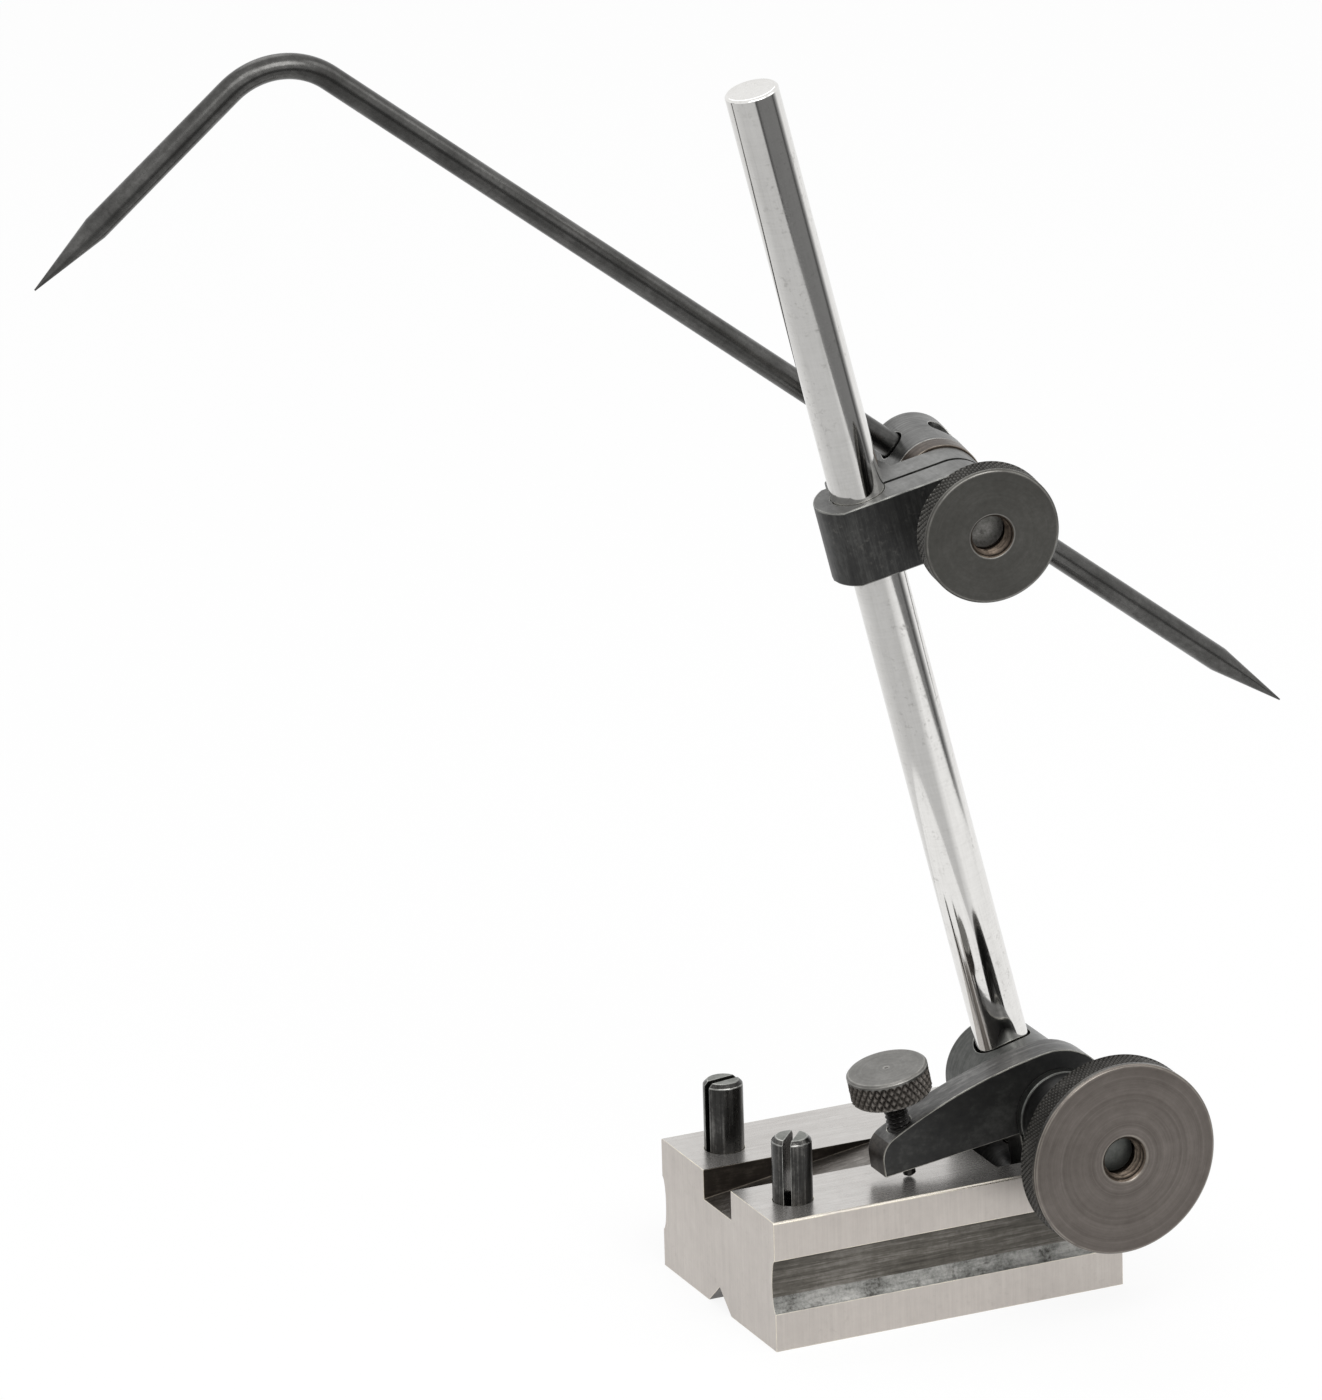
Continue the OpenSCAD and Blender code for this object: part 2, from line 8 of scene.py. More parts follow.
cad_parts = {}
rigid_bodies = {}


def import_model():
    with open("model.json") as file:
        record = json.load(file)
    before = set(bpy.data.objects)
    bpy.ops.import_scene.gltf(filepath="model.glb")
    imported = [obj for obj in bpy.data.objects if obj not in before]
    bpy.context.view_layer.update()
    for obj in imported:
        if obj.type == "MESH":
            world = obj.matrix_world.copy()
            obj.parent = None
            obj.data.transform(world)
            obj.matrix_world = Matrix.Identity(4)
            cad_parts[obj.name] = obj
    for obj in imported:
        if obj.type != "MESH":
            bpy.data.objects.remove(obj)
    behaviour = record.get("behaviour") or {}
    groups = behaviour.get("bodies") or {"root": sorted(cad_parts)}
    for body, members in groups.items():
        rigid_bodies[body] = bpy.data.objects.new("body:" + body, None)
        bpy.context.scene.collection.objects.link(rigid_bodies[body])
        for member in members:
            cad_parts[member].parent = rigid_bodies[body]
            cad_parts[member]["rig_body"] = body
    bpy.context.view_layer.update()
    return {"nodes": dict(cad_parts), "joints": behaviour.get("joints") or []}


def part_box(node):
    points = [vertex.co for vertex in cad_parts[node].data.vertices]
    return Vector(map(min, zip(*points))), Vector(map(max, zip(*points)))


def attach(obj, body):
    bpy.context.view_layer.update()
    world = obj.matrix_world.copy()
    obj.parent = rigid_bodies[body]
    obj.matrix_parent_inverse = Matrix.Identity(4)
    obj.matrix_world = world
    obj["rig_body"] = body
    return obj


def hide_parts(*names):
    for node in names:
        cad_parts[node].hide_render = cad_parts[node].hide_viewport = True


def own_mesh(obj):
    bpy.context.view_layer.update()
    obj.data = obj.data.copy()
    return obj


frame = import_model()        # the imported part, in metres
joints = {joint["name"]: joint for joint in frame["joints"]}
print("frame loaded:", len(frame["nodes"]), "nodes")

# The camera looks from the front left and above, as the photograph does
camera = {
    "azimuth": -23.999,
    "elevation": 19.058,
    "roll": -1.619,
    "distance": 2.38986,
    "aside": 0.04324,       # the base's centre stands right of the picture's middle
    "lift": 0.10702,        # and below it
    "focalPixels": 12833,
    "photoWidth": 1322,
    "sensorWidth": 36,
    "clipEnd": 20,
}


def addCamera():
    azimuth = math.radians(camera["azimuth"])
    elevation = math.radians(camera["elevation"])
    roll = math.radians(camera["roll"])
    level = Vector((math.cos(azimuth), math.sin(azimuth), 0))
    back = Vector((math.sin(azimuth)*math.cos(elevation), -math.cos(azimuth)*math.cos(elevation),
                   math.sin(elevation)))
    up = back.cross(level)
    right = level*math.cos(roll) + up*math.sin(roll)
    above = up*math.cos(roll) - level*math.sin(roll)
    eye = back*camera["distance"] - right*camera["aside"] + above*camera["lift"]
    data = bpy.data.cameras.new("photoCamera")
    data.sensor_fit = "HORIZONTAL"
    data.sensor_width = camera["sensorWidth"]
    data.lens = camera["focalPixels"]*camera["sensorWidth"]/camera["photoWidth"]
    data.clip_end = camera["clipEnd"]
    photoCamera = bpy.data.objects.new("photoCamera", data)
    photoCamera.matrix_world = (Matrix.Translation(eye)
                                @ Matrix((right, above, back)).transposed().to_4x4())
    bpy.context.scene.collection.objects.link(photoCamera)
    bpy.context.scene.camera = photoCamera


# Node helpers
def addNode(tree, kind, values=None, **settings):
    node = tree.nodes.new(kind)
    for key, value in settings.items():
        setattr(node, key, value)
    for socket, value in (values or {}).items():
        node.inputs[socket].default_value = value
    return node


def feed(tree, socket, source):
    if isinstance(source, bpy.types.NodeSocket):
        tree.links.new(source, socket)
    else:
        socket.default_value = source


def maths(tree, operation, first, second=0.0, clamp=False):
    node = addNode(tree, "ShaderNodeMath", operation=operation, use_clamp=clamp)
    feed(tree, node.inputs[0], first)
    feed(tree, node.inputs[1], second)
    return node.outputs[0]


def mixColours(tree, factor, first, second):
    node = addNode(tree, "ShaderNodeMix", data_type="RGBA")
    feed(tree, node.inputs[0], factor)
    feed(tree, node.inputs[6], first)
    feed(tree, node.inputs[7], second)
    return node.outputs[2]


def remap(tree, value, fromLow, fromHigh, toLow=0, toHigh=1):
    node = addNode(tree, "ShaderNodeMapRange", {"From Min": fromLow, "From Max": fromHigh,
                                                "To Min": toLow, "To Max": toHigh})
    tree.links.new(value, node.inputs["Value"])
    return node.outputs["Result"]


def noiseValue(tree, vector, scale, detail, roughness=0.55):
    node = addNode(tree, "ShaderNodeTexNoise", {"Detail": detail, "Roughness": roughness})
    tree.links.new(vector, node.inputs["Vector"])
    feed(tree, node.inputs["Scale"], scale)
    return node.outputs["Fac"]


def newGroup(name, *inputs):
    tree = bpy.data.node_groups.new(name, "ShaderNodeTree")
    for title in ("Vector", *inputs):
        kind = "NodeSocketVector" if title == "Vector" else "NodeSocketFloat"
        tree.interface.new_socket(name=title, in_out="INPUT", socket_type=kind)
    tree.interface.new_socket(name="Value", in_out="OUTPUT", socket_type="NodeSocketFloat")
    result = tree.nodes.new("NodeGroupOutput").inputs["Value"]
    return tree, tree.nodes.new("NodeGroupInput").outputs, result


# The noise in each group: scales per metre, shares, and the spread of values from none to full
marks = {
    "patina": {"fineRatio": 9.0, "shares": (0.6, 0.4), "spread": (0.33, 0.67)},
    "grain": {"narrowScale": 3.3, "shares": (0.55, 0.45), "spread": (0.32, 0.68)},
    "turning": {"wobbleScale": 90, "wobble": 2.0, "spread": (0.3, 0.7)},
    "edgeRub": {"scale": 260, "detail": 5, "roughness": 0.65, "spread": (0.34, 0.62), "least": 0.25},
    "grime": {"scale": 420, "detail": 4, "roughness": 0.55, "spread": (0.3, 0.65), "least": 0.55},
    "pits": {"spread": (0.57, 0.68), "patchScale": 110, "patchSpread": (0.42, 0.6)},
}


def shared(tree, values, shares):
    return maths(tree, "ADD", *[maths(tree, "MULTIPLY", value, share)
                                for value, share in zip(values, shares)])


# Uneven darkening of old steel, in broad clouds and fine specks
def patinaGroup(settings):
    tree, given, result = newGroup("patina", "Scale")
    fineScale = maths(tree, "MULTIPLY", given["Scale"], settings["fineRatio"])
    broad = noiseValue(tree, given["Vector"], given["Scale"], 5)
    fine = noiseValue(tree, given["Vector"], fineScale, 4, 0.7)
    both = shared(tree, (broad, fine), settings["shares"])
    tree.links.new(remap(tree, both, *settings["spread"]), result)
    return tree


# Fine parallel marks of grinding; the vector comes in stretched across them
def grainGroup(settings):
    tree, given, result = newGroup("grain")
    wide = noiseValue(tree, given["Vector"], 1, 3)
    narrow = noiseValue(tree, given["Vector"], settings["narrowScale"], 2, 0.7)
    both = shared(tree, (wide, narrow), settings["shares"])
    tree.links.new(remap(tree, both, *settings["spread"]), result)
    return tree


# Rings left by a lathe tool round the vector's Z axis, on end faces and on sides
def turningGroup(settings):
    tree, given, result = newGroup("turning", "Spacing")
    parts = addNode(tree, "ShaderNodeSeparateXYZ")
    tree.links.new(given["Vector"], parts.inputs[0])
    squares = [maths(tree, "MULTIPLY", parts.outputs[i], parts.outputs[i]) for i in (0, 1)]
    radius = maths(tree, "SQRT", maths(tree, "ADD", *squares))
    wobble = noiseValue(tree, given["Vector"], settings["wobbleScale"], 2)
    lines = addNode(tree, "ShaderNodeCombineXYZ")
    tree.links.new(maths(tree, "DIVIDE", radius, given["Spacing"]), lines.inputs[0])
    tree.links.new(maths(tree, "DIVIDE", parts.outputs[2], given["Spacing"]), lines.inputs[1])
    tree.links.new(maths(tree, "MULTIPLY", wobble, settings["wobble"]), lines.inputs[2])
    rings = noiseValue(tree, lines.outputs[0], 1, 2, 0.6)
    tree.links.new(remap(tree, rings, *settings["spread"]), result)
    return tree


# A mask from an attribute of the mesh, broken up in patches
def patchyGroup(name, attribute, settings):
    tree, given, result = newGroup(name, "Amount")
    marked = addNode(tree, "ShaderNodeAttribute", attribute_name=attribute).outputs["Fac"]
    noise = noiseValue(tree, given["Vector"], settings["scale"], settings["detail"],
                       settings["roughness"])
    patches = remap(tree, noise, *settings["spread"], settings["least"])
    mask = maths(tree, "MULTIPLY", marked, maths(tree, "MULTIPLY", patches, given["Amount"]), True)
    tree.links.new(mask, result)
    return tree


# Small corroded pits
def pitGroup(settings):
    tree, given, result = newGroup("pits", "Scale", "Amount")
    spots = noiseValue(tree, given["Vector"], given["Scale"], 3, 0.6)
    patches = noiseValue(tree, given["Vector"], settings["patchScale"], 3)
    where = remap(tree, patches, *settings["patchSpread"])
    limit = remap(tree, spots, *settings["spread"])
    mask = maths(tree, "MULTIPLY", limit, maths(tree, "MULTIPLY", where, given["Amount"]), True)
    tree.links.new(mask, result)
    return tree


patina = patinaGroup(marks["patina"])
grain = grainGroup(marks["grain"])
turning = turningGroup(marks["turning"])
edgeRub = patchyGroup("edgeRub", "edgeWear", marks["edgeRub"])   # edges rubbed bright
grime = patchyGroup("grime", "groove", marks["grime"])           # darker in the grooves of knurls and threads
pits = pitGroup(marks["pits"])


def useGroup(tree, group, vector, **values):
    node = addNode(tree, "ShaderNodeGroup", node_tree=group)
    tree.links.new(vector, node.inputs["Vector"])
    for title, value in values.items():
        node.inputs[title.title()].default_value = value
    return node.outputs[0]


def colour(rgb):
    return (*rgb, 1.0)


# Lays a colour over a surface where a mask is white, and changes the roughness there
def cover(tree, mask, surface, roughness, rgb, change):
    changed = maths(tree, "MULTIPLY", mask, change)
    return (mixColours(tree, mask, surface, colour(rgb)),
            maths(tree, "ADD", roughness, changed, True))


# What a steel surface has where a piece's settings don't say otherwise
plainSteel = {
    "metallic": 0.8,
    "bump": 0.3,
    "grain": (300, 300, 300),       # scale of the grinding marks along each axis
    "ringSpacing": 0.0004,
    "pitted": 0,
    "pitScale": 900,
    "pitRough": 0.25,               # change of the roughness in pits, in the darkened grooves and where rubbed
    "grimy": 0,
    "grooveDarkRough": 0.3,
    "rubbedRough": -0.12,
    "tones": (0.2, 0.5, 0.8),       # where the dark, middle and light colours lie
    "bumpDistance": 0.00003,
}


# A steel surface. Its tone runs through three colours by patina, grinding and turning marks
def steel(name, look, place=None):
    look = {**plainSteel, **look}
    material = bpy.data.materials.new(name)
    material.use_nodes = True
    tree = material.node_tree
    shader = tree.nodes["Principled BSDF"]
    inward = (place or Matrix()).inverted()
    where = addNode(tree, "ShaderNodeTexCoord").outputs["Object"]
    local = addNode(tree, "ShaderNodeMapping", {"Location": inward.translation,
                                                "Rotation": inward.to_euler()})
    tree.links.new(where, local.inputs["Vector"])
    vector = local.outputs[0]
    stretched = addNode(tree, "ShaderNodeMapping", {"Scale": look["grain"]})
    tree.links.new(vector, stretched.inputs["Vector"])
    clouds = useGroup(tree, patina, vector, scale=look["patinaScale"])
    lines = useGroup(tree, grain, stretched.outputs[0])
    rings = useGroup(tree, turning, vector, spacing=look["ringSpacing"])
    cloudShare, lineShare, ringShare = look["shares"]
    rest = (1 - cloudShare - lineShare - ringShare)/2
    tone = maths(tree, "ADD", maths(tree, "MULTIPLY", clouds, cloudShare), rest)
    tone = maths(tree, "ADD", tone, maths(tree, "MULTIPLY", lines, lineShare))
    tone = maths(tree, "ADD", tone, maths(tree, "MULTIPLY", rings, ringShare), True)
    ramp = addNode(tree, "ShaderNodeValToRGB")
    stops = ramp.color_ramp.elements
    stops[0].position, middle, stops[1].position = look["tones"]
    stops[0].color = colour(look["dark"])
    stops[1].color = colour(look["light"])
    stops.new(middle).color = colour(look["middle"])
    tree.links.new(tone, ramp.inputs[0])
    surface = ramp.outputs[0]
    smoothShine, roughShine = look["roughness"]
    roughness = remap(tree, tone, 0, 1, roughShine, smoothShine)
    height = shared(tree, (lines, rings), (lineShare, ringShare))
    if look["pitted"]:
        holes = useGroup(tree, pits, vector, amount=look["pitted"], scale=look["pitScale"])
        surface, roughness = cover(tree, holes, surface, roughness, look["pitColour"],
                                   look["pitRough"])
        height = maths(tree, "SUBTRACT", height, holes)
    # A darker colour in the grooves of knurls and threads
    if look["grimy"]:
        darkened = useGroup(tree, grime, vector, amount=look["grimy"])
        surface, roughness = cover(tree, darkened, surface, roughness, look["grooveDarkColour"],
                                   look["grooveDarkRough"])
    rubbed = useGroup(tree, edgeRub, vector, amount=look["rubbed"])
    surface, roughness = cover(tree, rubbed, surface, roughness, look["rubbedColour"],
                               look["rubbedRough"])
    bump = addNode(tree, "ShaderNodeBump", {"Strength": look["bump"],
                                            "Distance": look["bumpDistance"]})
    tree.links.new(height, bump.inputs["Height"])
    tree.links.new(surface, shader.inputs["Base Color"])
    tree.links.new(roughness, shader.inputs["Roughness"])
    tree.links.new(bump.outputs[0], shader.inputs["Normal"])
    shader.inputs["Metallic"].default_value = look["metallic"]
    return material


# The materials of a piece, by the names of the parts that they cover
def steels(piece, settings, *parts, place=None):
    return {part: steel(piece + part[0].upper() + part[1:], settings[part], place)
            for part in parts}


# Frames of the moving pieces: Z runs along the joint's axis
def axisPlace(jointName, sense=1):
    joint = joints[jointName]
    axis = Vector(joint["axis"])*sense
    return (Matrix.Translation(joint["pos_m"])
            @ axis.to_track_quat("Z", "Y").to_matrix().to_4x4())


# Lowest and highest point of a node along that Z, and its radius round it
def span(node, place):
    inward = place.inverted()
    points = [inward @ vertex.co for vertex in frame["nodes"][node].data.vertices]
    return (min(point.z for point in points), max(point.z for point in points),
            max(point.xy.length for point in points))


# Gaps that are welded, angles in degrees that count as flat, and how far a face's normal has to
# follow a direction to face that way
limits = {"cadWeld": 2e-6, "weld": 1e-6, "rodWeld": 1e-7, "flatFace": 0.4, "flatCorner": 12,
          "faceUp": 0.9, "faceAlong": 0.7}


# A profile of (radius, height) points with its corners rounded; the third number marks an edge
def softened(points, width):
    soft = []
    for i, (radius, height) in enumerate(points):
        here = Vector((radius, height))
        if i in (0, len(points) - 1):
            soft.append((radius, height, 0))
            continue
        before = Vector(points[i - 1]) - here
        after = Vector(points[i + 1]) - here
        if before.angle(-after) < math.radians(limits["flatCorner"]):
            soft.append((radius, height, 0))
            continue
        reach = min(width, before.length/5, after.length/5)
        start = here + before.normalized()*reach
        end = here + after.normalized()*reach
        middle = (start + end + here*2)/4
        soft.append((*(start + before.normalized()*reach), 0))
        soft.extend((*point, 1) for point in (start, middle, end))
        soft.append((*(end + after.normalized()*reach), 0))
    return soft


# Even rows between two points of a profile, for knurls and threads
def rows(radius, start, end, count):
    return [(radius, start + (end - start)*i/count, 0) for i in range(count + 1)]


def weld(mesh, gap):
    bmesh.ops.remove_doubles(mesh, verts=mesh.verts, dist=gap)
    bmesh.ops.recalc_face_normals(mesh, faces=mesh.faces)


# A profile turned round Z. One sector is spun, and copies of it close the round
def turnedMesh(profile, steps, closed=False, sectors=12):
    mesh = bmesh.new()
    worn = mesh.verts.layers.float.new("edgeWear")
    mesh.verts.layers.float.new("groove")
    ring = []
    for radius, height, edge in profile:
        vertex = mesh.verts.new((radius, 0, height))
        vertex[worn] = edge
        ring.append(vertex)
    edges = [mesh.edges.new(pair) for pair in zip(ring, ring[1:])]
    if closed:
        edges.append(mesh.edges.new((ring[-1], ring[0])))
    bmesh.ops.spin(mesh, geom=ring + edges, cent=(0, 0, 0), axis=(0, 0, 1),
                   angle=2*math.pi/sectors, steps=steps//sectors)
    sector = mesh.verts[:] + mesh.edges[:] + mesh.faces[:]
    for i in range(1, sectors):
        copied = bmesh.ops.duplicate(mesh, geom=sector)["geom"]
        bmesh.ops.rotate(mesh, verts=[item for item in copied if isinstance(item, bmesh.types.BMVert)],
                         cent=(0, 0, 0), matrix=Matrix.Rotation(2*math.pi*i/sectors, 3, "Z"))
    weld(mesh, limits["weld"])
    return mesh


# 0 in the middle of each groove and 1 on the crest between two
def wave(turns):
    return 1 - abs(1 - 2*(turns % 1))


# Sinks the points of a band by height(angle, z), which gives the depth and the dirt of each
def reshape(mesh, low, high, radius, height):
    groove = mesh.verts.layers.float["groove"]
    slack = limits["weld"]
    moved = set()
    for vertex in mesh.verts:
        if low - slack < vertex.co.z < high + slack and abs(vertex.co.xy.length - radius) < slack:
            angle = math.atan2(vertex.co.y, vertex.co.x)/(2*math.pi)
            depth, sunk = height(angle, vertex.co.z)
            scale = (radius - depth)/radius
            vertex.co.x *= scale
            vertex.co.y *= scale
            vertex[groove] = sunk
            moved.add(vertex)
    cut = [face for face in mesh.faces if all(vertex in moved for vertex in face.verts)]
    bmesh.ops.triangulate(mesh, faces=cut, quad_method="SHORT_EDGE", ngon_method="BEAUTY")


# Crossed grooves round a band, with flat-topped diamonds between them
def knurl(mesh, low, high, radius, settings):
    def height(angle, z):
        along = (z - low)/(high - low)*settings["knurlPitches"]
        teeth = angle*settings["teeth"]
        crest = min(1, settings["flat"]*min(wave(teeth + along), wave(teeth - along)))
        return settings["knurlDepth"]*(1 - crest), 1 - crest
    reshape(mesh, low, high, radius, height)


# A screw thread that runs out at both ends, on a shank or in a bore
def thread(mesh, low, high, radius, settings, inBore=False):
    pitch = settings["threadPitch"]
    depth = settings["threadDepth"]

    def height(angle, z):
        crest = wave(z/pitch - angle)
        ends = max(0, min(1, (z - low)/pitch, (high - z)/pitch))
        return depth*(1 - crest)*ends, crest if inBore else (1 - crest)*ends
    reshape(mesh, low, high, radius, height)


def addObject(mesh, name):
    data = bpy.data.meshes.new(name)
    mesh.to_mesh(data)
    mesh.free()
    made = bpy.data.objects.new(name, data)
    bpy.context.scene.collection.objects.link(made)
    return made


# zone() names the part that a point lies on, before the mesh is placed
def finishPiece(mesh, name, node, materials, place=None, smooth=32, zone=None):
    order = list(materials)
    for face in mesh.faces if zone else ():
        face.material_index = order.index(zone(face.calc_center_median()))
    if place is not None:
        bmesh.ops.transform(mesh, matrix=place, verts=mesh.verts)
    piece = addObject(mesh, name)
    data = piece.data
    leftover = data.attributes.get("custom_normal")
    if leftover is not None:
        data.attributes.remove(leftover)
    for material in materials.values():
        data.materials.append(material)
    data.shade_smooth()
    data.set_sharp_from_angle(angle=math.radians(smooth))
    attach(piece, frame["nodes"][node]["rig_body"])
    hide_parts(node)
    return piece


# A copy of a node with its sharp edges broken. zone() names the part that a face lies on, and
# spare() tells the edges that stay as they are
def machinedPiece(name, node, materials, width, zone=None, spare=None, sharp=35, smooth=32):
    mesh = bmesh.new()
    mesh.from_mesh(frame["nodes"][node].data)
    bmesh.ops.remove_doubles(mesh, verts=mesh.verts, dist=limits["cadWeld"])
    bmesh.ops.dissolve_limit(mesh, angle_limit=math.radians(limits["flatFace"]), verts=mesh.verts,
                             edges=mesh.edges)
    order = list(materials)
    worn = mesh.faces.layers.float.new("edgeWear")
    corners = [edge for edge in mesh.edges
               if len(edge.link_faces) == 2 and not (spare and spare(edge))
               and edge.calc_face_angle() > math.radians(sharp)]
    for face in mesh.faces:
        face.material_index = order.index(zone(face)) if zone else 0
    made = bmesh.ops.bevel(mesh, geom=corners, offset=width, offset_type="OFFSET", affect="EDGES",
                           segments=2, profile=0.5, material=-1, clamp_overlap=False)
    for face in made["faces"]:
        face[worn] = 1
    piece = finishPiece(mesh, name, node, materials, smooth=smooth)
    weighted = piece.modifiers.new("flatFaces", "WEIGHTED_NORMAL")
    weighted.keep_sharp = True
    return piece


def facesUp(face):
    return face.normal.z > limits["faceUp"]


def facesAlong(face, axis):
    return abs(face.normal.dot(axis)) > limits["faceAlong"]


# Base: ground all over; the hollow sides dark and pitted, with painted shade above and painted light
# low down; dark in the slot and the well from painted shade
base = {
    "edge": 0.00013,
    "near": 0.00008,            # faces this close to the outside belong to it
    "recessDepth": 0.0013,
    "recess": (0.0073, 0.0179),
    "recessLitBelow": 0.0104,       # below this height the hollow is painted paler, as lit where it turns up
    "ground": {"dark": (0.47, 0.435, 0.405), "middle": (0.525, 0.485, 0.45),
               "light": (0.58, 0.54, 0.50), "roughness": (0.32, 0.42),
               "grain": (1400, 1400, 45), "patinaScale": 45, "shares": (0.4, 0.32, 0),
               "rubbed": 0.9, "rubbedColour": (0.86, 0.80, 0.66), "bump": 0.15,
               "pitted": 0.12, "pitColour": (0.25, 0.22, 0.2)},
    "top": {"dark": (0.46, 0.44, 0.42), "middle": (0.55, 0.53, 0.51), "light": (0.64, 0.62, 0.60),
            "metallic": 0.85, "roughness": (0.2, 0.32), "grain": (50, 1400, 1400),
            "patinaScale": 40, "shares": (0.35, 0.4, 0), "rubbed": 0.9,
            "rubbedColour": (0.9, 0.84, 0.70), "bump": 0.2},
    # dark, pitted steel, with painted shade where the upper hollow faces down
    "hollow": {"dark": (0.045, 0.04, 0.032), "middle": (0.10, 0.091, 0.077),
               "light": (0.22, 0.205, 0.185), "metallic": 0.45, "roughness": (0.4, 0.58),
               "grain": (45, 1000, 1000), "patinaScale": 70, "shares": (0.35, 0.55, 0),
               "rubbed": 0.35, "rubbedColour": (0.5, 0.48, 0.42), "bump": 0.7,
               "pitted": 0.35, "pitColour": (0.05, 0.045, 0.04)},
    # painted light: paler where the hollow's lower part turns up, with pits
    "hollowFoot": {"dark": (0.06, 0.057, 0.05), "middle": (0.25, 0.25, 0.235),
                   "light": (0.42, 0.41, 0.39), "metallic": 0.45, "roughness": (0.42, 0.6),
                   "grain": (150, 900, 900), "patinaScale": 190, "shares": (0.65, 0.3, 0),
                   "rubbed": 0.6, "rubbedColour": (0.6, 0.58, 0.53), "bump": 1.0,
                   "pitted": 0.95, "pitColour": (0.05, 0.045, 0.04), "pitScale": 520},
    # painted shade: brown-black on the walls inside the slot and the well
    "cavity": {"dark": (0.012, 0.009, 0.007), "middle": (0.03, 0.024, 0.019),
               "light": (0.10, 0.085, 0.07), "metallic": 0.5, "roughness": (0.3, 0.5),
               "grain": (60, 900, 900), "patinaScale": 60, "shares": (0.6, 0.3, 0),
               "rubbed": 0.5, "rubbedColour": (0.4, 0.34, 0.27), "bump": 0.6,
               "pitted": 0.4, "pitColour": (0.02, 0.015, 0.012)},
    # painted shade and painted reflection of the dark walls on the floors in the slot and the well
    "slotFloor": {"dark": (0.05, 0.043, 0.036), "middle": (0.14, 0.125, 0.11),
                  "light": (0.34, 0.32, 0.30), "roughness": (0.2, 0.4),
                  "grain": (40, 1200, 1200), "patinaScale": 50, "shares": (0.5, 0.45, 0),
                  "rubbed": 0.5, "rubbedColour": (0.6, 0.56, 0.5), "bump": 0.5,
                  "pitted": 0.3, "pitColour": (0.03, 0.025, 0.02)},
}


def buildBase():
    low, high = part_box("base")
    near = base["near"]
    deep = base["recessDepth"] + near

    def zone(face):
        centre = face.calc_center_median()
        outer = high.y - abs(centre.y)
        if near < outer < deep and base["recess"][0] < centre.z < base["recess"][1]:
            return "hollowFoot" if centre.z < base["recessLitBelow"] else "hollow"
        if high.z - centre.z < near:
            return "top"
        inside = min(centre.x - low.x, high.x - centre.x, outer, high.z - centre.z)
        if inside > near and outer > deep and centre.z - low.z > near:
            return "slotFloor" if facesUp(face) else "cavity"
        return "ground"

    materials = steels("base", base, "ground", "top", "hollow", "hollowFoot", "cavity", "slotFloor")
    machinedPiece("baseBlock", "base", materials, base["edge"], zone)


# Guide pins, black on the sides and grey on top as painted light from above
guidePins = {
    "edge": 0.00016,
    "side": {"dark": (0.018, 0.018, 0.017), "middle": (0.045, 0.044, 0.042),
             "light": (0.17, 0.165, 0.155), "metallic": 0.9, "roughness": (0.2, 0.34),
             "grain": (500, 500, 18), "patinaScale": 130, "shares": (0.35, 0.6, 0),
             "rubbed": 0.9, "rubbedColour": (0.4, 0.4, 0.38), "bump": 0.2},
    # painted light: the top lighter than the black sides, as lit from above
    "top": {"dark": (0.10, 0.105, 0.095), "middle": (0.17, 0.175, 0.16),
            "light": (0.26, 0.265, 0.25), "roughness": (0.3, 0.45),
            "patinaScale": 200, "shares": (0.6, 0.2, 0),
            "rubbed": 0.9, "rubbedColour": (0.4, 0.4, 0.38)},
}


def buildGuidePins():
    materials = steels("pin", guidePins, "side", "top")

    def zone(face):
        return "top" if facesUp(face) else "side"

    for name, node in (("nearGuidePin", "guide_pin_near"), ("farGuidePin", "guide_pin_far")):
        machinedPiece(name, node, materials, guidePins["edge"], zone)


# Rocking arm: black side, satin top edge painted lighter as lit from above, brownish nose painted dark
# as shade
arm = {
    "edge": 0.00022,
    "noseReach": 0.0012,
    "side": {"dark": (0.010, 0.010, 0.010), "middle": (0.022, 0.022, 0.021),
             "light": (0.055, 0.055, 0.052), "metallic": 0.35, "roughness": (0.34, 0.48),
             "grain": (60, 300, 600), "patinaScale": 55, "shares": (0.75, 0.2, 0),
             "rubbed": 0.8, "rubbedColour": (0.42, 0.41, 0.37), "bump": 0.2,
             "pitted": 0.2, "pitColour": (0.09, 0.085, 0.08)},
    # painted light: the top lighter than the black side, as lit from above
    "top": {"dark": (0.035, 0.035, 0.034), "middle": (0.075, 0.074, 0.072),
            "light": (0.17, 0.168, 0.162), "metallic": 0.75, "roughness": (0.24, 0.38),
            "grain": (50, 1300, 500), "patinaScale": 60, "shares": (0.4, 0.5, 0), "rubbed": 0.8,
            "rubbedColour": (0.42, 0.41, 0.37), "bump": 0.35},
    # painted shade on the front of the nose, with a brown tint
    "nose": {"dark": (0.012, 0.010, 0.008), "middle": (0.028, 0.023, 0.019),
             "light": (0.07, 0.06, 0.05), "metallic": 0.5, "roughness": (0.32, 0.48),
             "grain": (500, 500, 500), "patinaScale": 160, "shares": (0.6, 0.3, 0),
             "rubbed": 0.7, "rubbedColour": (0.36, 0.33, 0.29), "bump": 0.4},
}


def buildArm():
    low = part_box("rocker_arm")[0]

    def zone(face):
        if facesAlong(face, Vector((0, 1, 0))):
            return "side"
        return "nose" if face.calc_center_median().x < low.x + arm["noseReach"] else "top"

    materials = {**steels("arm", arm, "side", place=axisPlace("rocker_tilt")),
                 **steels("arm", arm, "top", "nose")}
    machinedPiece("rockingArm", "rocker_arm", materials, arm["edge"], zone)


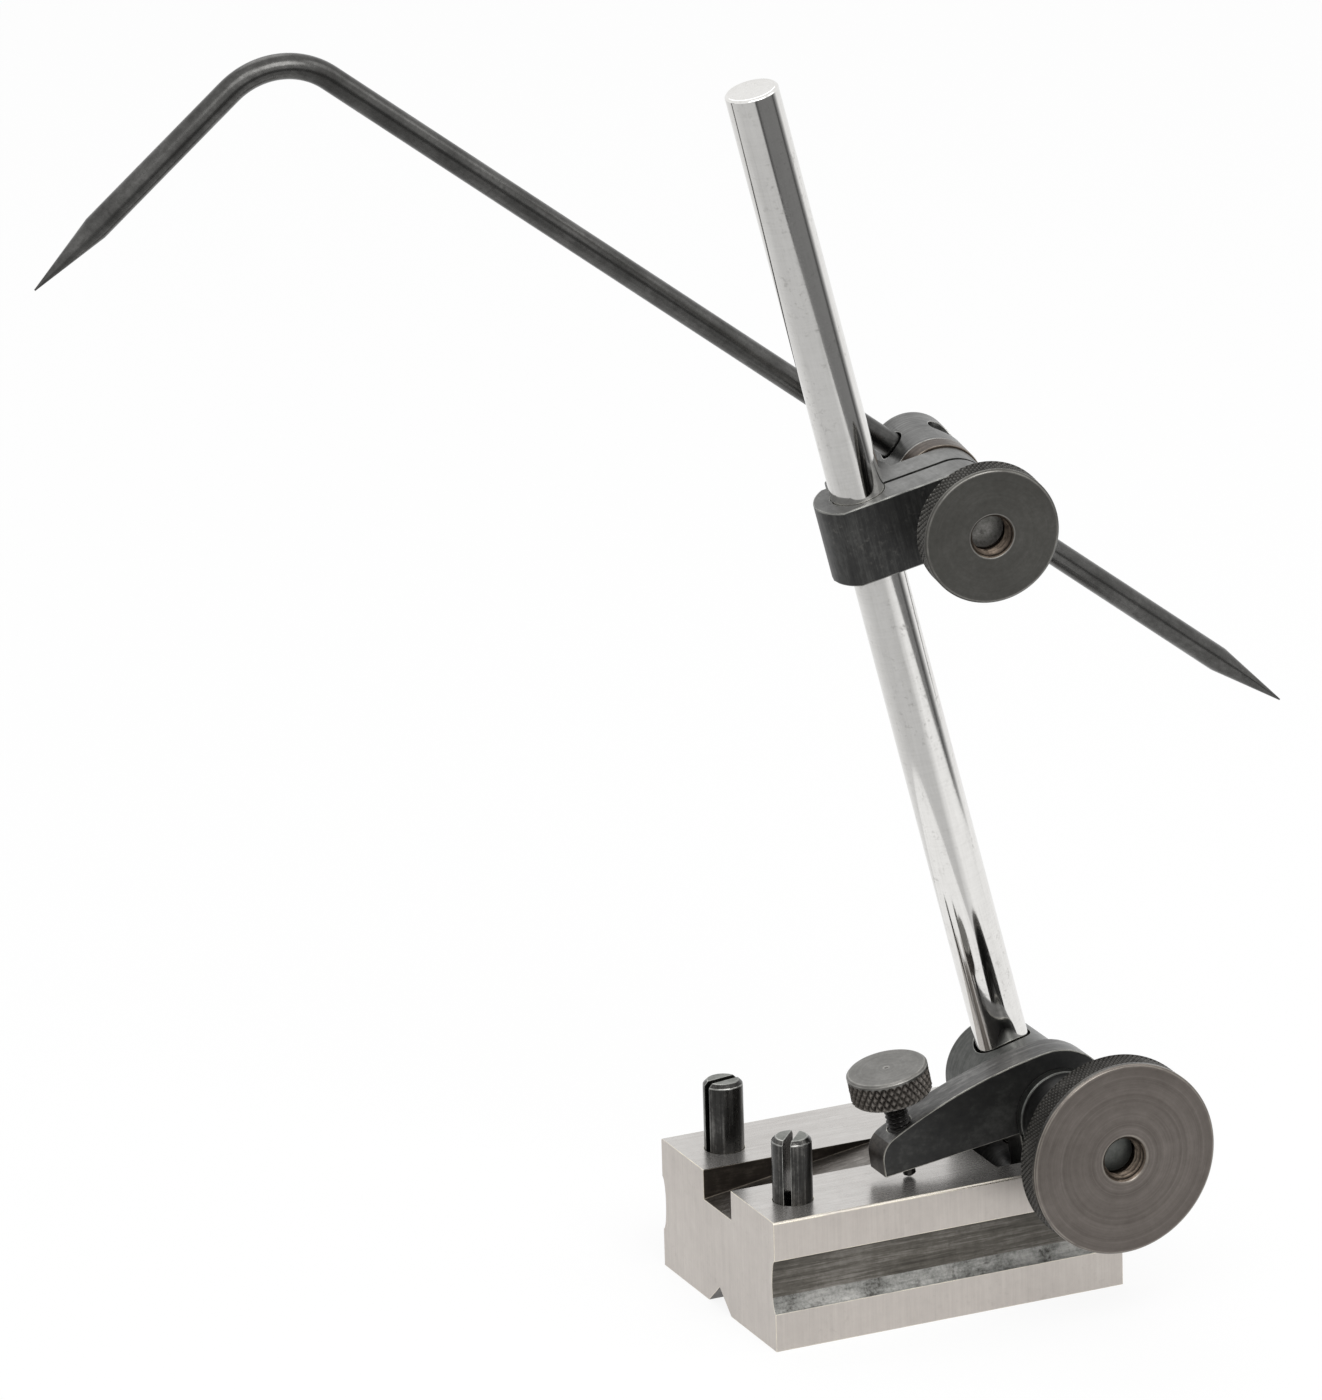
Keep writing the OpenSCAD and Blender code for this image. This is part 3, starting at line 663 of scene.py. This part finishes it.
# Fine adjusting screw: knurled head, black threaded shank
fineScrew = {
    "headHeight": 0.0056,
    "smoothBand": 0.0006,
    "shankRadius": 0.00225,
    "chamfer": 0.0004,
    "soft": 0.00025,
    "pip": (0.0005, 0.0003),       # radius and depth of the centre mark
    "teeth": 34,
    "toothSteps": 12,
    "knurlPitches": 2,
    "pitchRows": 16,
    "knurlDepth": 0.00045,
    "flat": 1.4,
    "threadPitch": 0.0009,
    "threadRows": 10,              # rows of points in each pitch
    "threadDepth": 0.0005,
    "tip": (0.0012, 0.003),        # radius and length of the plain tip
    "top": {"dark": (0.095, 0.093, 0.086), "middle": (0.14, 0.137, 0.128),
            "light": (0.2, 0.195, 0.185), "roughness": (0.3, 0.42),
            "grain": (400, 400, 400), "patinaScale": 130, "shares": (0.55, 0.05, 0.15),
            "ringSpacing": 0.0005, "rubbed": 0.7, "rubbedColour": (0.34, 0.33, 0.31)},
    "knurled": {"dark": (0.07, 0.062, 0.054), "middle": (0.12, 0.108, 0.096),
                "light": (0.19, 0.175, 0.16), "roughness": (0.28, 0.42),
                "grain": (400, 400, 400), "patinaScale": 130, "shares": (0.6, 0.05, 0),
                "rubbed": 0.7, "rubbedColour": (0.34, 0.33, 0.31),
                "grimy": 1.0, "grooveDarkColour": (0.012, 0.009, 0.007), "bump": 0.2},
    "shank": {"dark": (0.012, 0.011, 0.011), "middle": (0.03, 0.029, 0.028),
              "light": (0.08, 0.078, 0.075), "metallic": 0.85, "roughness": (0.24, 0.4),
              "grain": (400, 400, 400), "patinaScale": 200, "shares": (0.6, 0.05, 0),
              "rubbed": 0.4, "rubbedColour": (0.2, 0.2, 0.19),
              "grimy": 0.9, "grooveDarkColour": (0.006, 0.005, 0.005), "bump": 0.2},
}


def buildFineScrew():
    place = axisPlace("fine_screw_feed", -1)
    low, high, radius = span("fine_adjust_screw", place)
    under = high - fineScrew["headHeight"]
    chamfer = fineScrew["chamfer"]
    bandTop = high - fineScrew["smoothBand"] - chamfer
    bandLow = under + chamfer
    shank = fineScrew["shankRadius"]
    tipRadius, tipLength = fineScrew["tip"]
    pipRadius, pipDepth = fineScrew["pip"]
    head = softened([(0, high - pipDepth), (pipRadius, high), (radius - chamfer, high),
                     (radius, high - chamfer), (radius, bandTop + chamfer/2)], fineScrew["soft"])
    band = rows(radius, bandTop, bandLow, fineScrew["pitchRows"]*fineScrew["knurlPitches"])
    below = [(radius - chamfer, under, 1), (shank + chamfer, under, 0)]
    threadTop = under - chamfer
    threadLow = low + tipLength
    turns = round((threadTop - threadLow)/fineScrew["threadPitch"])
    wound = rows(shank, threadTop, threadLow, fineScrew["threadRows"]*turns)
    tip = [(tipRadius, threadLow - shank + tipRadius, 0), (tipRadius, low + tipRadius/2, 0),
           (tipRadius/2, low + tipRadius/8, 0), (0, low, 0)]
    mesh = turnedMesh(head + band + below + wound + tip, fineScrew["toothSteps"]*fineScrew["teeth"])
    knurl(mesh, bandLow, bandTop, radius, fineScrew)
    thread(mesh, threadLow, threadTop, shank, fineScrew)

    def zone(centre):
        if centre.z < under - chamfer/4:
            return "shank"
        return "knurled" if centre.z < bandTop else "top"

    materials = steels("screw", fineScrew, "top", "knurled", "shank", place=place)
    finishPiece(mesh, "fineScrew", "fine_adjust_screw", materials, place, zone=zone)


# Knurled nuts: a turned face, a knurled rim, a dark hub and the thread's end in the mouth
largeNut = {
    "discThickness": 0.0063,
    "hubRadius": 0.0095,
    "neckRadius": 0.0083,
    "neckLength": 0.00465,
    "boreRadius": 0.00405,
    "countersink": 0.0005,
    "chamfer": 0.00035,
    "backChamfer": 0.0004,
    "smoothBand": 0.001,
    "soft": 0.0003,
    "teeth": 116,
    "toothSteps": 6,
    "knurlPitches": 4,
    "pitchRows": 8,
    "knurlDepth": 0.00036,
    "flat": 1.25,
    "threadPitch": 0.001,
    "threadRows": 10,
    "threadDepth": 0.0006,
    "threadLength": 0.0035,
    "face": {"dark": (0.095, 0.082, 0.073), "middle": (0.128, 0.112, 0.101),
             "light": (0.17, 0.15, 0.137), "roughness": (0.3, 0.4),
             "patinaScale": 60, "shares": (0.35, 0.03, 0.28),
             "ringSpacing": 0.00045, "rubbed": 0.55, "rubbedColour": (0.34, 0.31, 0.27)},
    "rim": {"dark": (0.03, 0.029, 0.026), "middle": (0.06, 0.057, 0.052),
            "light": (0.11, 0.105, 0.097), "roughness": (0.28, 0.42),
            "patinaScale": 90, "shares": (0.6, 0.05, 0),
            "rubbed": 0.8, "rubbedColour": (0.34, 0.31, 0.27),
            "grimy": 1.0, "grooveDarkColour": (0.008, 0.007, 0.006), "bump": 0.2},
    "hub": {"dark": (0.01, 0.01, 0.01), "middle": (0.022, 0.022, 0.021),
            "light": (0.07, 0.07, 0.068), "metallic": 0.75, "roughness": (0.26, 0.42),
            "patinaScale": 70, "shares": (0.5, 0.03, 0.3),
            "ringSpacing": 0.0006, "rubbed": 0.6, "rubbedColour": (0.25, 0.24, 0.22)},
    "mouth": {"dark": (0.05, 0.038, 0.029), "middle": (0.11, 0.086, 0.066),
              "light": (0.2, 0.165, 0.13), "metallic": 0.85, "roughness": (0.25, 0.4),
              "patinaScale": 200, "shares": (0.6, 0.05, 0),
              "rubbed": 0.5, "rubbedColour": (0.3, 0.26, 0.21),
              "grimy": 0.9, "grooveDarkColour": (0.012, 0.009, 0.007), "bump": 0.2},
}
smallNut = {
    "discThickness": 0.0051,
    "hubRadius": 0.0068,
    "neckRadius": 0.0064,
    "neckLength": 0.0004,
    "boreRadius": 0.00395,
    "countersink": 0.0003,
    "chamfer": 0.0004,
    "backChamfer": 0.0004,
    "smoothBand": 0.0003,
    "soft": 0.0003,
    "teeth": 69,
    "toothSteps": 8,
    "knurlPitches": 3,
    "pitchRows": 10,
    "knurlDepth": 0.0005,
    "flat": 1.3,
    "threadPitch": 0.001,
    "threadRows": 10,
    "threadDepth": 0.0006,
    "threadLength": 0.0038,
    "face": {"dark": (0.06, 0.058, 0.052), "middle": (0.08, 0.078, 0.071),
             "light": (0.11, 0.107, 0.099), "metallic": 0.75, "roughness": (0.32, 0.42),
             "patinaScale": 110, "shares": (0.45, 0.03, 0.12),
             "rubbed": 0.6, "rubbedColour": (0.3, 0.29, 0.27), "bump": 0.25},
    "rim": {"dark": (0.045, 0.043, 0.039), "middle": (0.085, 0.082, 0.076),
            "light": (0.14, 0.136, 0.128), "roughness": (0.28, 0.42),
            "patinaScale": 110, "shares": (0.6, 0.05, 0),
            "rubbed": 0.6, "rubbedColour": (0.3, 0.29, 0.27),
            "grimy": 1.0, "grooveDarkColour": (0.01, 0.009, 0.008), "bump": 0.2},
    "hub": largeNut["hub"],
    "mouth": largeNut["mouth"],
}


def buildNut(name, node, jointName, nut):
    place = axisPlace(jointName, -1)
    inner, face, radius = span(node, place)
    back = face - nut["discThickness"]
    chamfer = nut["chamfer"]
    bore = nut["boreRadius"]
    bandTop = face - chamfer - nut["smoothBand"]
    bandLow = back + nut["backChamfer"]
    neckTop = inner + nut["neckLength"]
    rise = nut["hubRadius"] - nut["neckRadius"]
    mouth = bore + nut["countersink"]
    threadTop = face - nut["countersink"]
    threadLow = threadTop - nut["threadLength"]
    front = softened([(bore, threadTop), (mouth, face), (radius - chamfer, face),
                      (radius, face - chamfer), (radius, bandTop + chamfer/4)], nut["soft"])
    band = rows(radius, bandTop, bandLow, nut["pitchRows"]*nut["knurlPitches"])
    rear = softened([(radius, bandLow - chamfer/8), (radius - nut["backChamfer"], back),
                     (nut["hubRadius"], back), (nut["hubRadius"], neckTop + rise),
                     (nut["neckRadius"], neckTop), (nut["neckRadius"], inner), (bore, inner)],
                    nut["soft"])
    turns = nut["threadLength"]/nut["threadPitch"]
    wound = rows(bore, threadLow, threadTop, round(nut["threadRows"]*turns))
    mesh = turnedMesh(front[1:] + band + rear + wound, nut["toothSteps"]*nut["teeth"], True)
    knurl(mesh, bandLow, bandTop, radius, nut)
    thread(mesh, threadLow, threadTop, bore, nut, True)

    def zone(centre):
        if centre.xy.length < bore + nut["countersink"]/2:
            return "mouth"
        if centre.z < back + nut["backChamfer"]/2:
            return "hub"
        return "rim" if centre.z < face - chamfer else "face"

    materials = steels(name, nut, "face", "rim", "hub", "mouth", place=place)
    finishPiece(mesh, name, node, materials, place, zone=zone)


# Spindle: bright, with faint pits
spindle = {
    "soft": 0.0003,
    "chamfer": 0.0004,
    "steps": 96,
    "steel": {"dark": (0.68, 0.67, 0.65), "middle": (0.76, 0.75, 0.73), "light": (0.82, 0.81, 0.79),
              "metallic": 1.0, "roughness": (0.06, 0.11), "grain": (900, 900, 30),
              "patinaScale": 60, "shares": (0.35, 0.3, 0.15), "ringSpacing": 0.0005,
              "rubbed": 0.3, "rubbedColour": (0.9, 0.9, 0.88), "bump": 0.06,
              "pitted": 0.35, "pitColour": (0.3, 0.29, 0.27)},
}


def buildSpindle():
    place = axisPlace("spindle_turn")
    low, high, radius = span("spindle", place)
    chamfer = spindle["chamfer"]
    profile = softened([(0, low), (radius - chamfer, low), (radius, low + chamfer),
                        (radius, high - chamfer), (radius - chamfer, high), (0, high)],
                       spindle["soft"])
    mesh = turnedMesh(profile, spindle["steps"])
    finishPiece(mesh, "spindleRod", "spindle",
                steels("spindle", spindle, "steel", place=place), place)


# Swivel sleeve, stud and washer
swivel = {
    "edge": 0.0002,
    "sleeve": {"dark": (0.03, 0.031, 0.029), "middle": (0.06, 0.062, 0.058),
               "light": (0.12, 0.122, 0.116), "roughness": (0.28, 0.4),
               "patinaScale": 80, "shares": (0.5, 0.05, 0.15),
               "ringSpacing": 0.0005, "rubbed": 0.7, "rubbedColour": (0.3, 0.3, 0.28)},
    "stud": {"dark": (0.05, 0.052, 0.047), "middle": (0.085, 0.088, 0.081),
             "light": (0.13, 0.134, 0.125), "roughness": (0.3, 0.45),
             "patinaScale": 200, "shares": (0.6, 0.05, 0.05),
             "ringSpacing": 0.0003, "rubbed": 0.7, "rubbedColour": (0.24, 0.25, 0.23),
             "pitted": 0.3, "pitColour": (0.05, 0.05, 0.045)},
}


def buildSwivel():
    place = axisPlace("swivel_nut_turn", -1)
    sleeve = steels("swivel", swivel, "sleeve", place=place)
    stud = steels("swivel", swivel, "stud", place=place)
    machinedPiece("swivelSleeve", "swivel_sleeve", sleeve, swivel["edge"])
    machinedPiece("swivelStud", "swivel_stud", stud, swivel["edge"]/2)
    machinedPiece("swivelWasher", "swivel_washer", sleeve, swivel["edge"]/2)


# Split clamp on the spindle, its top painted lighter than its dark sides, as lit from above
clamp = {
    "edge": 0.00028,
    "slitEdge": 0.0006,        # edges this near the slit's middle stay sharp
    "sharp": 50,
    "smooth": 48,
    "side": {"dark": (0.015, 0.015, 0.015), "middle": (0.03, 0.03, 0.029),
             "light": (0.07, 0.07, 0.067), "metallic": 0.45, "roughness": (0.32, 0.46),
             "grain": (900, 900, 60), "patinaScale": 80, "shares": (0.45, 0.4, 0),
             "rubbed": 0.75, "rubbedColour": (0.33, 0.33, 0.31),
             "pitted": 0.4, "pitColour": (0.13, 0.125, 0.115)},
    # painted light: the top lighter than the sides, as lit from above
    "top": {"dark": (0.07, 0.07, 0.068), "middle": (0.115, 0.115, 0.111),
            "light": (0.18, 0.18, 0.175), "roughness": (0.28, 0.4),
            "grain": (80, 900, 900), "patinaScale": 90, "shares": (0.6, 0.2, 0),
            "rubbed": 0.7, "rubbedColour": (0.33, 0.33, 0.31)},
}


def buildClamp():
    place = axisPlace("snug_slide")
    up = place.to_3x3().col[2]
    bolt = Vector(joints["scriber_swing"]["pos_m"])
    across = Vector(joints["scriber_swing"]["axis"]).normalized()

    def zone(face):
        return "top" if facesAlong(face, up) else "side"

    def besideSlit(edge):
        return all(abs((vertex.co - bolt).dot(across)) < clamp["slitEdge"] for vertex in edge.verts)

    materials = steels("clamp", clamp, "side", "top", place=place)
    machinedPiece("splitClamp", "snug", materials, clamp["edge"], zone, besideSlit,
                  clamp["sharp"], clamp["smooth"])


# Holder of the scriber: stud, collar and sleeve on one axis
holder = {
    "edge": 0.0002,
    "sleeve": {"dark": (0.06, 0.06, 0.058), "middle": (0.10, 0.10, 0.097),
               "light": (0.17, 0.17, 0.165), "metallic": 0.85, "roughness": (0.28, 0.4),
               "patinaScale": 100, "shares": (0.4, 0.05, 0.4),
               "rubbed": 0.9, "rubbedColour": (0.5, 0.49, 0.47)},
    "stud": {"dark": (0.13, 0.125, 0.115), "middle": (0.24, 0.235, 0.22),
             "light": (0.38, 0.37, 0.35), "roughness": (0.3, 0.5),
             "patinaScale": 240, "shares": (0.65, 0.05, 0.1),
             "ringSpacing": 0.0003, "rubbed": 0.7, "rubbedColour": (0.45, 0.44, 0.41),
             "bump": 0.7, "pitted": 0.7, "pitColour": (0.06, 0.055, 0.05)},
    # brown steel, darkened by painted shade in the gap between the sleeve and the clamp
    "collar": {"dark": (0.03, 0.021, 0.016), "middle": (0.06, 0.045, 0.035),
               "light": (0.12, 0.095, 0.075), "metallic": 0.7, "roughness": (0.3, 0.45),
               "patinaScale": 140, "shares": (0.5, 0.05, 0.35),
               "rubbed": 0.85, "rubbedColour": (0.35, 0.3, 0.25), "bump": 0.4},
}


def buildHolder():
    place = axisPlace("scriber_swing", -1)
    for name, node, slot, part, edge in (
            ("scriberSleeve", "scriber_sleeve", "dark_steel", "sleeve", holder["edge"]),
            ("scriberCollar", "scriber_collar", "brown_steel", "collar", holder["edge"]),
            ("clampStud", "snug_stud", "bright_steel", "stud", holder["edge"]/2)):
        machinedPiece(name, node, steels("holder", holder, part, place=place), edge)


# Scriber: a pointed rod, bent near its other point
scriber = {
    "backLength": 0.1534,
    "legLength": 0.0619,
    "bendRadius": 0.0145,
    "bendTurn": 80,
    "pointLength": 0.0156,
    "tipRadius": 0.00015,
    "radius": 0.00238,
    "sides": 48,
    "bendSteps": 28,
    "smooth": 40,
    "steel": {"dark": (0.055, 0.054, 0.052), "middle": (0.085, 0.084, 0.081),
              "light": (0.13, 0.128, 0.124), "metallic": 0.95, "roughness": (0.18, 0.3),
              "grain": (40, 900, 900), "patinaScale": 110, "shares": (0.6, 0.25, 0),
              "rubbed": 0.6, "rubbedColour": (0.4, 0.4, 0.39), "bump": 0.25,
              "pitted": 0.3, "pitColour": (0.02, 0.018, 0.016)},
}


# A ring of the rod's end is carried on, turned or drawn in, and the last one is closed
def buildScriber():
    along = Vector(joints["scriber_slide"]["axis"]).normalized()
    across = Vector(joints["scriber_swing"]["axis"]).normalized()
    side = along.cross(across)
    place = (Matrix.Translation(joints["scriber_slide"]["pos_m"])
             @ Matrix((along, across, side)).transposed().to_4x4())
    inward = place.inverted()
    end = max((inward @ vertex.co).x for vertex in frame["nodes"]["scriber"].data.vertices)
    bendRadius = scriber["bendRadius"]
    turn = math.radians(scriber["bendTurn"])
    start = bendRadius*math.tan(turn/2)
    bendX = start - scriber["backLength"]
    point = scriber["pointLength"]
    radius = scriber["radius"]
    mesh = bmesh.new()
    upright = Matrix.Rotation(math.pi/2, 4, "Y")
    first = bmesh.ops.create_circle(mesh, cap_ends=False, radius=radius,
                                    segments=scriber["sides"], matrix=upright)["verts"]
    bmesh.ops.translate(mesh, verts=first, vec=(bendX, 0, 0))
    firstEdges = mesh.edges[:]

    def carryOn(edges, step, shrink, centre):
        grown = bmesh.ops.extrude_edge_only(mesh, edges=edges)["geom"]
        verts = [item for item in grown if isinstance(item, bmesh.types.BMVert)]
        bmesh.ops.translate(mesh, verts=verts, vec=step)
        if shrink != 1:
            space = Matrix.Translation(-centre)
            bmesh.ops.scale(mesh, verts=verts, vec=(shrink, shrink, shrink), space=space)
        return [item for item in grown if isinstance(item, bmesh.types.BMEdge)
                and all(vertex in verts for vertex in item.verts)]

    def drawPoint(edges, direction, foot):
        tip = foot + direction*point
        ring = carryOn(edges, direction*point, scriber["tipRadius"]/radius, tip)
        bmesh.ops.contextual_create(mesh, geom=ring)

    # The straight part, as far as its point
    straight = end - point - bendX
    ring = carryOn(firstEdges, Vector((straight, 0, 0)), 1, None)
    drawPoint(ring, Vector((1, 0, 0)), Vector((end - point, 0, 0)))
    # The bend and the leg, from the same first ring
    bent = bmesh.ops.spin(mesh, geom=first + firstEdges, cent=(bendX, 0, -bendRadius),
                          axis=(0, 1, 0), angle=-turn, steps=scriber["bendSteps"])["geom_last"]
    lastEdges = [item for item in bent if isinstance(item, bmesh.types.BMEdge)]
    direction = Vector((-math.cos(turn), 0, -math.sin(turn)))
    foot = Vector((bendX - bendRadius*math.sin(turn), 0, -bendRadius*(1 - math.cos(turn))))
    leg = scriber["legLength"] - start - point
    ring = carryOn(lastEdges, direction*leg, 1, None)
    drawPoint(ring, direction, foot + direction*leg)
    weld(mesh, limits["rodWeld"])
    finishPiece(mesh, "scriberRod", "scriber",
                steels("scriber", scriber, "steel", place=place), place, scriber["smooth"])


# Spring under the arm's tail
spring = {
    "wireRadius": 0.0003,
    "turns": 6,
    "stepsPerTurn": 36,
    "sides": 12,
    "smooth": 50,
    "seat": 0.004,              # height of its fixed end
    "keep": 0.86,               # share of its height that is left at the arm's upper limit
    "steel": {"dark": (0.2, 0.2, 0.21), "middle": (0.32, 0.32, 0.33), "light": (0.48, 0.48, 0.49),
              "metallic": 1.0, "roughness": (0.25, 0.4), "grain": (900, 900, 900),
              "patinaScale": 300, "shares": (0.5, 0.2, 0), "rubbed": 0.3,
              "rubbedColour": (0.6, 0.6, 0.6), "bump": 0.2},
}


def buildSpring():
    low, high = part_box("rocker_spring")
    wire = spring["wireRadius"]
    middle = (low + high)/2
    coilRadius = (high.y - low.y)/2 - wire
    climb = high.z - low.z - 2*wire
    mesh = bmesh.new()
    upright = Matrix.Rotation(math.pi/2, 4, "X")
    ring = bmesh.ops.create_circle(mesh, cap_ends=True, radius=wire, segments=spring["sides"],
                                   matrix=upright)["verts"]
    bmesh.ops.translate(mesh, verts=ring, vec=(middle.x + coilRadius, middle.y, low.z + wire))
    steps = spring["turns"]*spring["stepsPerTurn"]
    geometry = mesh.verts[:] + mesh.edges[:] + mesh.faces[:]
    bmesh.ops.spin(mesh, geom=geometry, cent=middle, axis=(0, 0, 1),
                   dvec=(0, 0, climb/steps), angle=2*math.pi*spring["turns"], steps=steps,
                   use_duplicate=False)
    weld(mesh, limits["rodWeld"])
    piece = finishPiece(mesh, "tailSpring", "rocker_spring",
                        steels("spring", spring, "steel"), smooth=spring["smooth"])
    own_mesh(piece)


# Pin that the arm rocks on, with the same finish as the upper stud
rockerPin = {"edge": 0.0001, "stud": holder["stud"]}


def buildRockerPin():
    place = axisPlace("rocker_tilt", -1)
    machinedPiece("rockerPin", "rocker_pin",
                  steels("rockerPin", rockerPin, "stud", place=place), rockerPin["edge"])


# Floor, lights, and two flat glowing rings on the floor that only the steel reflects: painted
# reflections, light and dark bands in the steel. A ring's tone changes round it, by angle in degrees
studio = {
    "floorSize": 8,
    "floorColour": (0.9, 0.9, 0.9),
    "floorGlow": 0.86,
    "glowStrength": 1.03,
    "ambient": 0.5,
    # Place, size and power of each lamp
    "lamps": (((-0.7, -0.9, 1.3), 0.9, 4.0), ((0.9, -0.5, 1.1), 0.8, 2.0),
              ((0.1, 0.9, 1.2), 0.9, 2.5), ((0.05, -1.05, 1.15), 0.85, 7.5)),
    "aim": (0.0, 0.0, 0.1),
    "ringHeight": 0.0008,
    "ringSteps": 96,
    "rings": ({"near": 0.12, "far": 0.45,
               "tones": ((-180, 0.62), (-95, 0.62), (-70, 1.0), (60, 1.0), (180, 0.62))},
              {"near": 0.45, "far": 3.6,
               "tones": ((-180, 0.62), (-108, 0.62), (-102, 0.06), (-92, 0.19), (-30, 0.21),
                         (-22, 0.07), (-12, 0.3), (2, 0.95), (60, 1.0), (180, 0.62))}),
}


def lightPath(tree):
    path = addNode(tree, "ShaderNodeLightPath")
    seen = maths(tree, "MAXIMUM", path.outputs["Is Camera Ray"], path.outputs["Is Glossy Ray"])
    return maths(tree, "MAXIMUM", seen, path.outputs["Is Transmission Ray"])


# A material of its own shader nodes only
def bareMaterial(name):
    material = bpy.data.materials.new(name)
    material.use_nodes = True
    tree = material.node_tree
    tree.nodes.remove(tree.nodes["Principled BSDF"])
    return material, tree


def addStudio():
    bpy.context.scene.view_settings.view_transform = "Standard"
    world = bpy.data.worlds.new("studioWorld")
    bpy.context.scene.world = world
    world.use_nodes = True
    tree = world.node_tree
    strength = remap(tree, lightPath(tree), 0, 1, studio["ambient"], 1)
    background = tree.nodes["Background"]
    background.inputs["Color"].default_value = (1, 1, 1, 1)
    tree.links.new(strength, background.inputs["Strength"])

    mesh = bmesh.new()
    bmesh.ops.create_grid(mesh, size=studio["floorSize"]/2)
    floor = addObject(mesh, "floor")
    material, tree = bareMaterial("floorPaper")
    paper = addNode(tree, "ShaderNodeBsdfDiffuse", {"Color": colour(studio["floorColour"])})
    glow = addNode(tree, "ShaderNodeEmission", {"Strength": studio["glowStrength"]})
    both = addNode(tree, "ShaderNodeMixShader")
    tree.links.new(maths(tree, "MULTIPLY", lightPath(tree), studio["floorGlow"]), both.inputs[0])
    tree.links.new(paper.outputs[0], both.inputs[1])
    tree.links.new(glow.outputs[0], both.inputs[2])
    tree.links.new(both.outputs[0], tree.nodes["Material Output"].inputs["Surface"])
    floor.data.materials.append(material)

    for i, (place, size, power) in enumerate(studio["lamps"]):
        lamp = bpy.data.lights.new("softLamp" + str(i), "AREA")
        lamp.shape = "DISK"
        lamp.size = size
        lamp.energy = power
        softLamp = bpy.data.objects.new("softLamp" + str(i), lamp)
        softLamp.location = place
        aim = Vector(studio["aim"]) - Vector(place)
        softLamp.rotation_euler = aim.to_track_quat("-Z", "Y").to_euler()
        bpy.context.scene.collection.objects.link(softLamp)


def addReflectionRing(i, ring):
    mesh = bmesh.new()
    height = studio["ringHeight"]
    start = mesh.verts.new((ring["near"], 0, height))
    end = mesh.verts.new((ring["far"], 0, height))
    edge = mesh.edges.new((start, end))
    bmesh.ops.spin(mesh, geom=[start, end, edge], cent=(0, 0, 0), axis=(0, 0, 1),
                   angle=2*math.pi, steps=studio["ringSteps"], use_merge=True)
    name = "reflectionRing" + str(i)
    plate = addObject(mesh, name)
    material, tree = bareMaterial(name)
    where = addNode(tree, "ShaderNodeTexCoord").outputs["Object"]
    turn = addNode(tree, "ShaderNodeTexGradient", gradient_type="RADIAL")
    tree.links.new(where, turn.inputs["Vector"])
    tones = addNode(tree, "ShaderNodeValToRGB")
    stops = tones.color_ramp.elements
    for angle, tone in ring["tones"][1:-1]:
        stops.new(angle/360 + 0.5).color = (tone, tone, tone, 1)
    for stop, (angle, tone) in ((stops[0], ring["tones"][0]), (stops[-1], ring["tones"][-1])):
        stop.color = (tone, tone, tone, 1)
    tree.links.new(turn.outputs["Fac"], tones.inputs[0])
    glow = addNode(tree, "ShaderNodeEmission")
    tree.links.new(tones.outputs[0], glow.inputs["Color"])
    tree.links.new(glow.outputs[0], tree.nodes["Material Output"].inputs["Surface"])
    plate.data.materials.append(material)
    plate.visible_camera = False
    plate.visible_diffuse = False
    plate.visible_shadow = False
    plate.visible_transmission = False


addCamera()
print("camera placed")
buildBase()
buildGuidePins()
print("base and guide pins finished")
buildArm()
buildFineScrew()
buildRockerPin()
buildSpring()
print("rocking arm, screw and spring finished")
buildSwivel()
buildNut("largeNut", "swivel_nut", "swivel_nut_turn", largeNut)
buildSpindle()
print("swivel and spindle finished")
buildClamp()
buildHolder()
buildNut("smallNut", "snug_nut", "snug_nut_turn", smallNut)
buildScriber()
print("scriber clamp and scriber finished")
addStudio()
for i, ring in enumerate(studio["rings"]):
    addReflectionRing(i, ring)
print("studio lit")
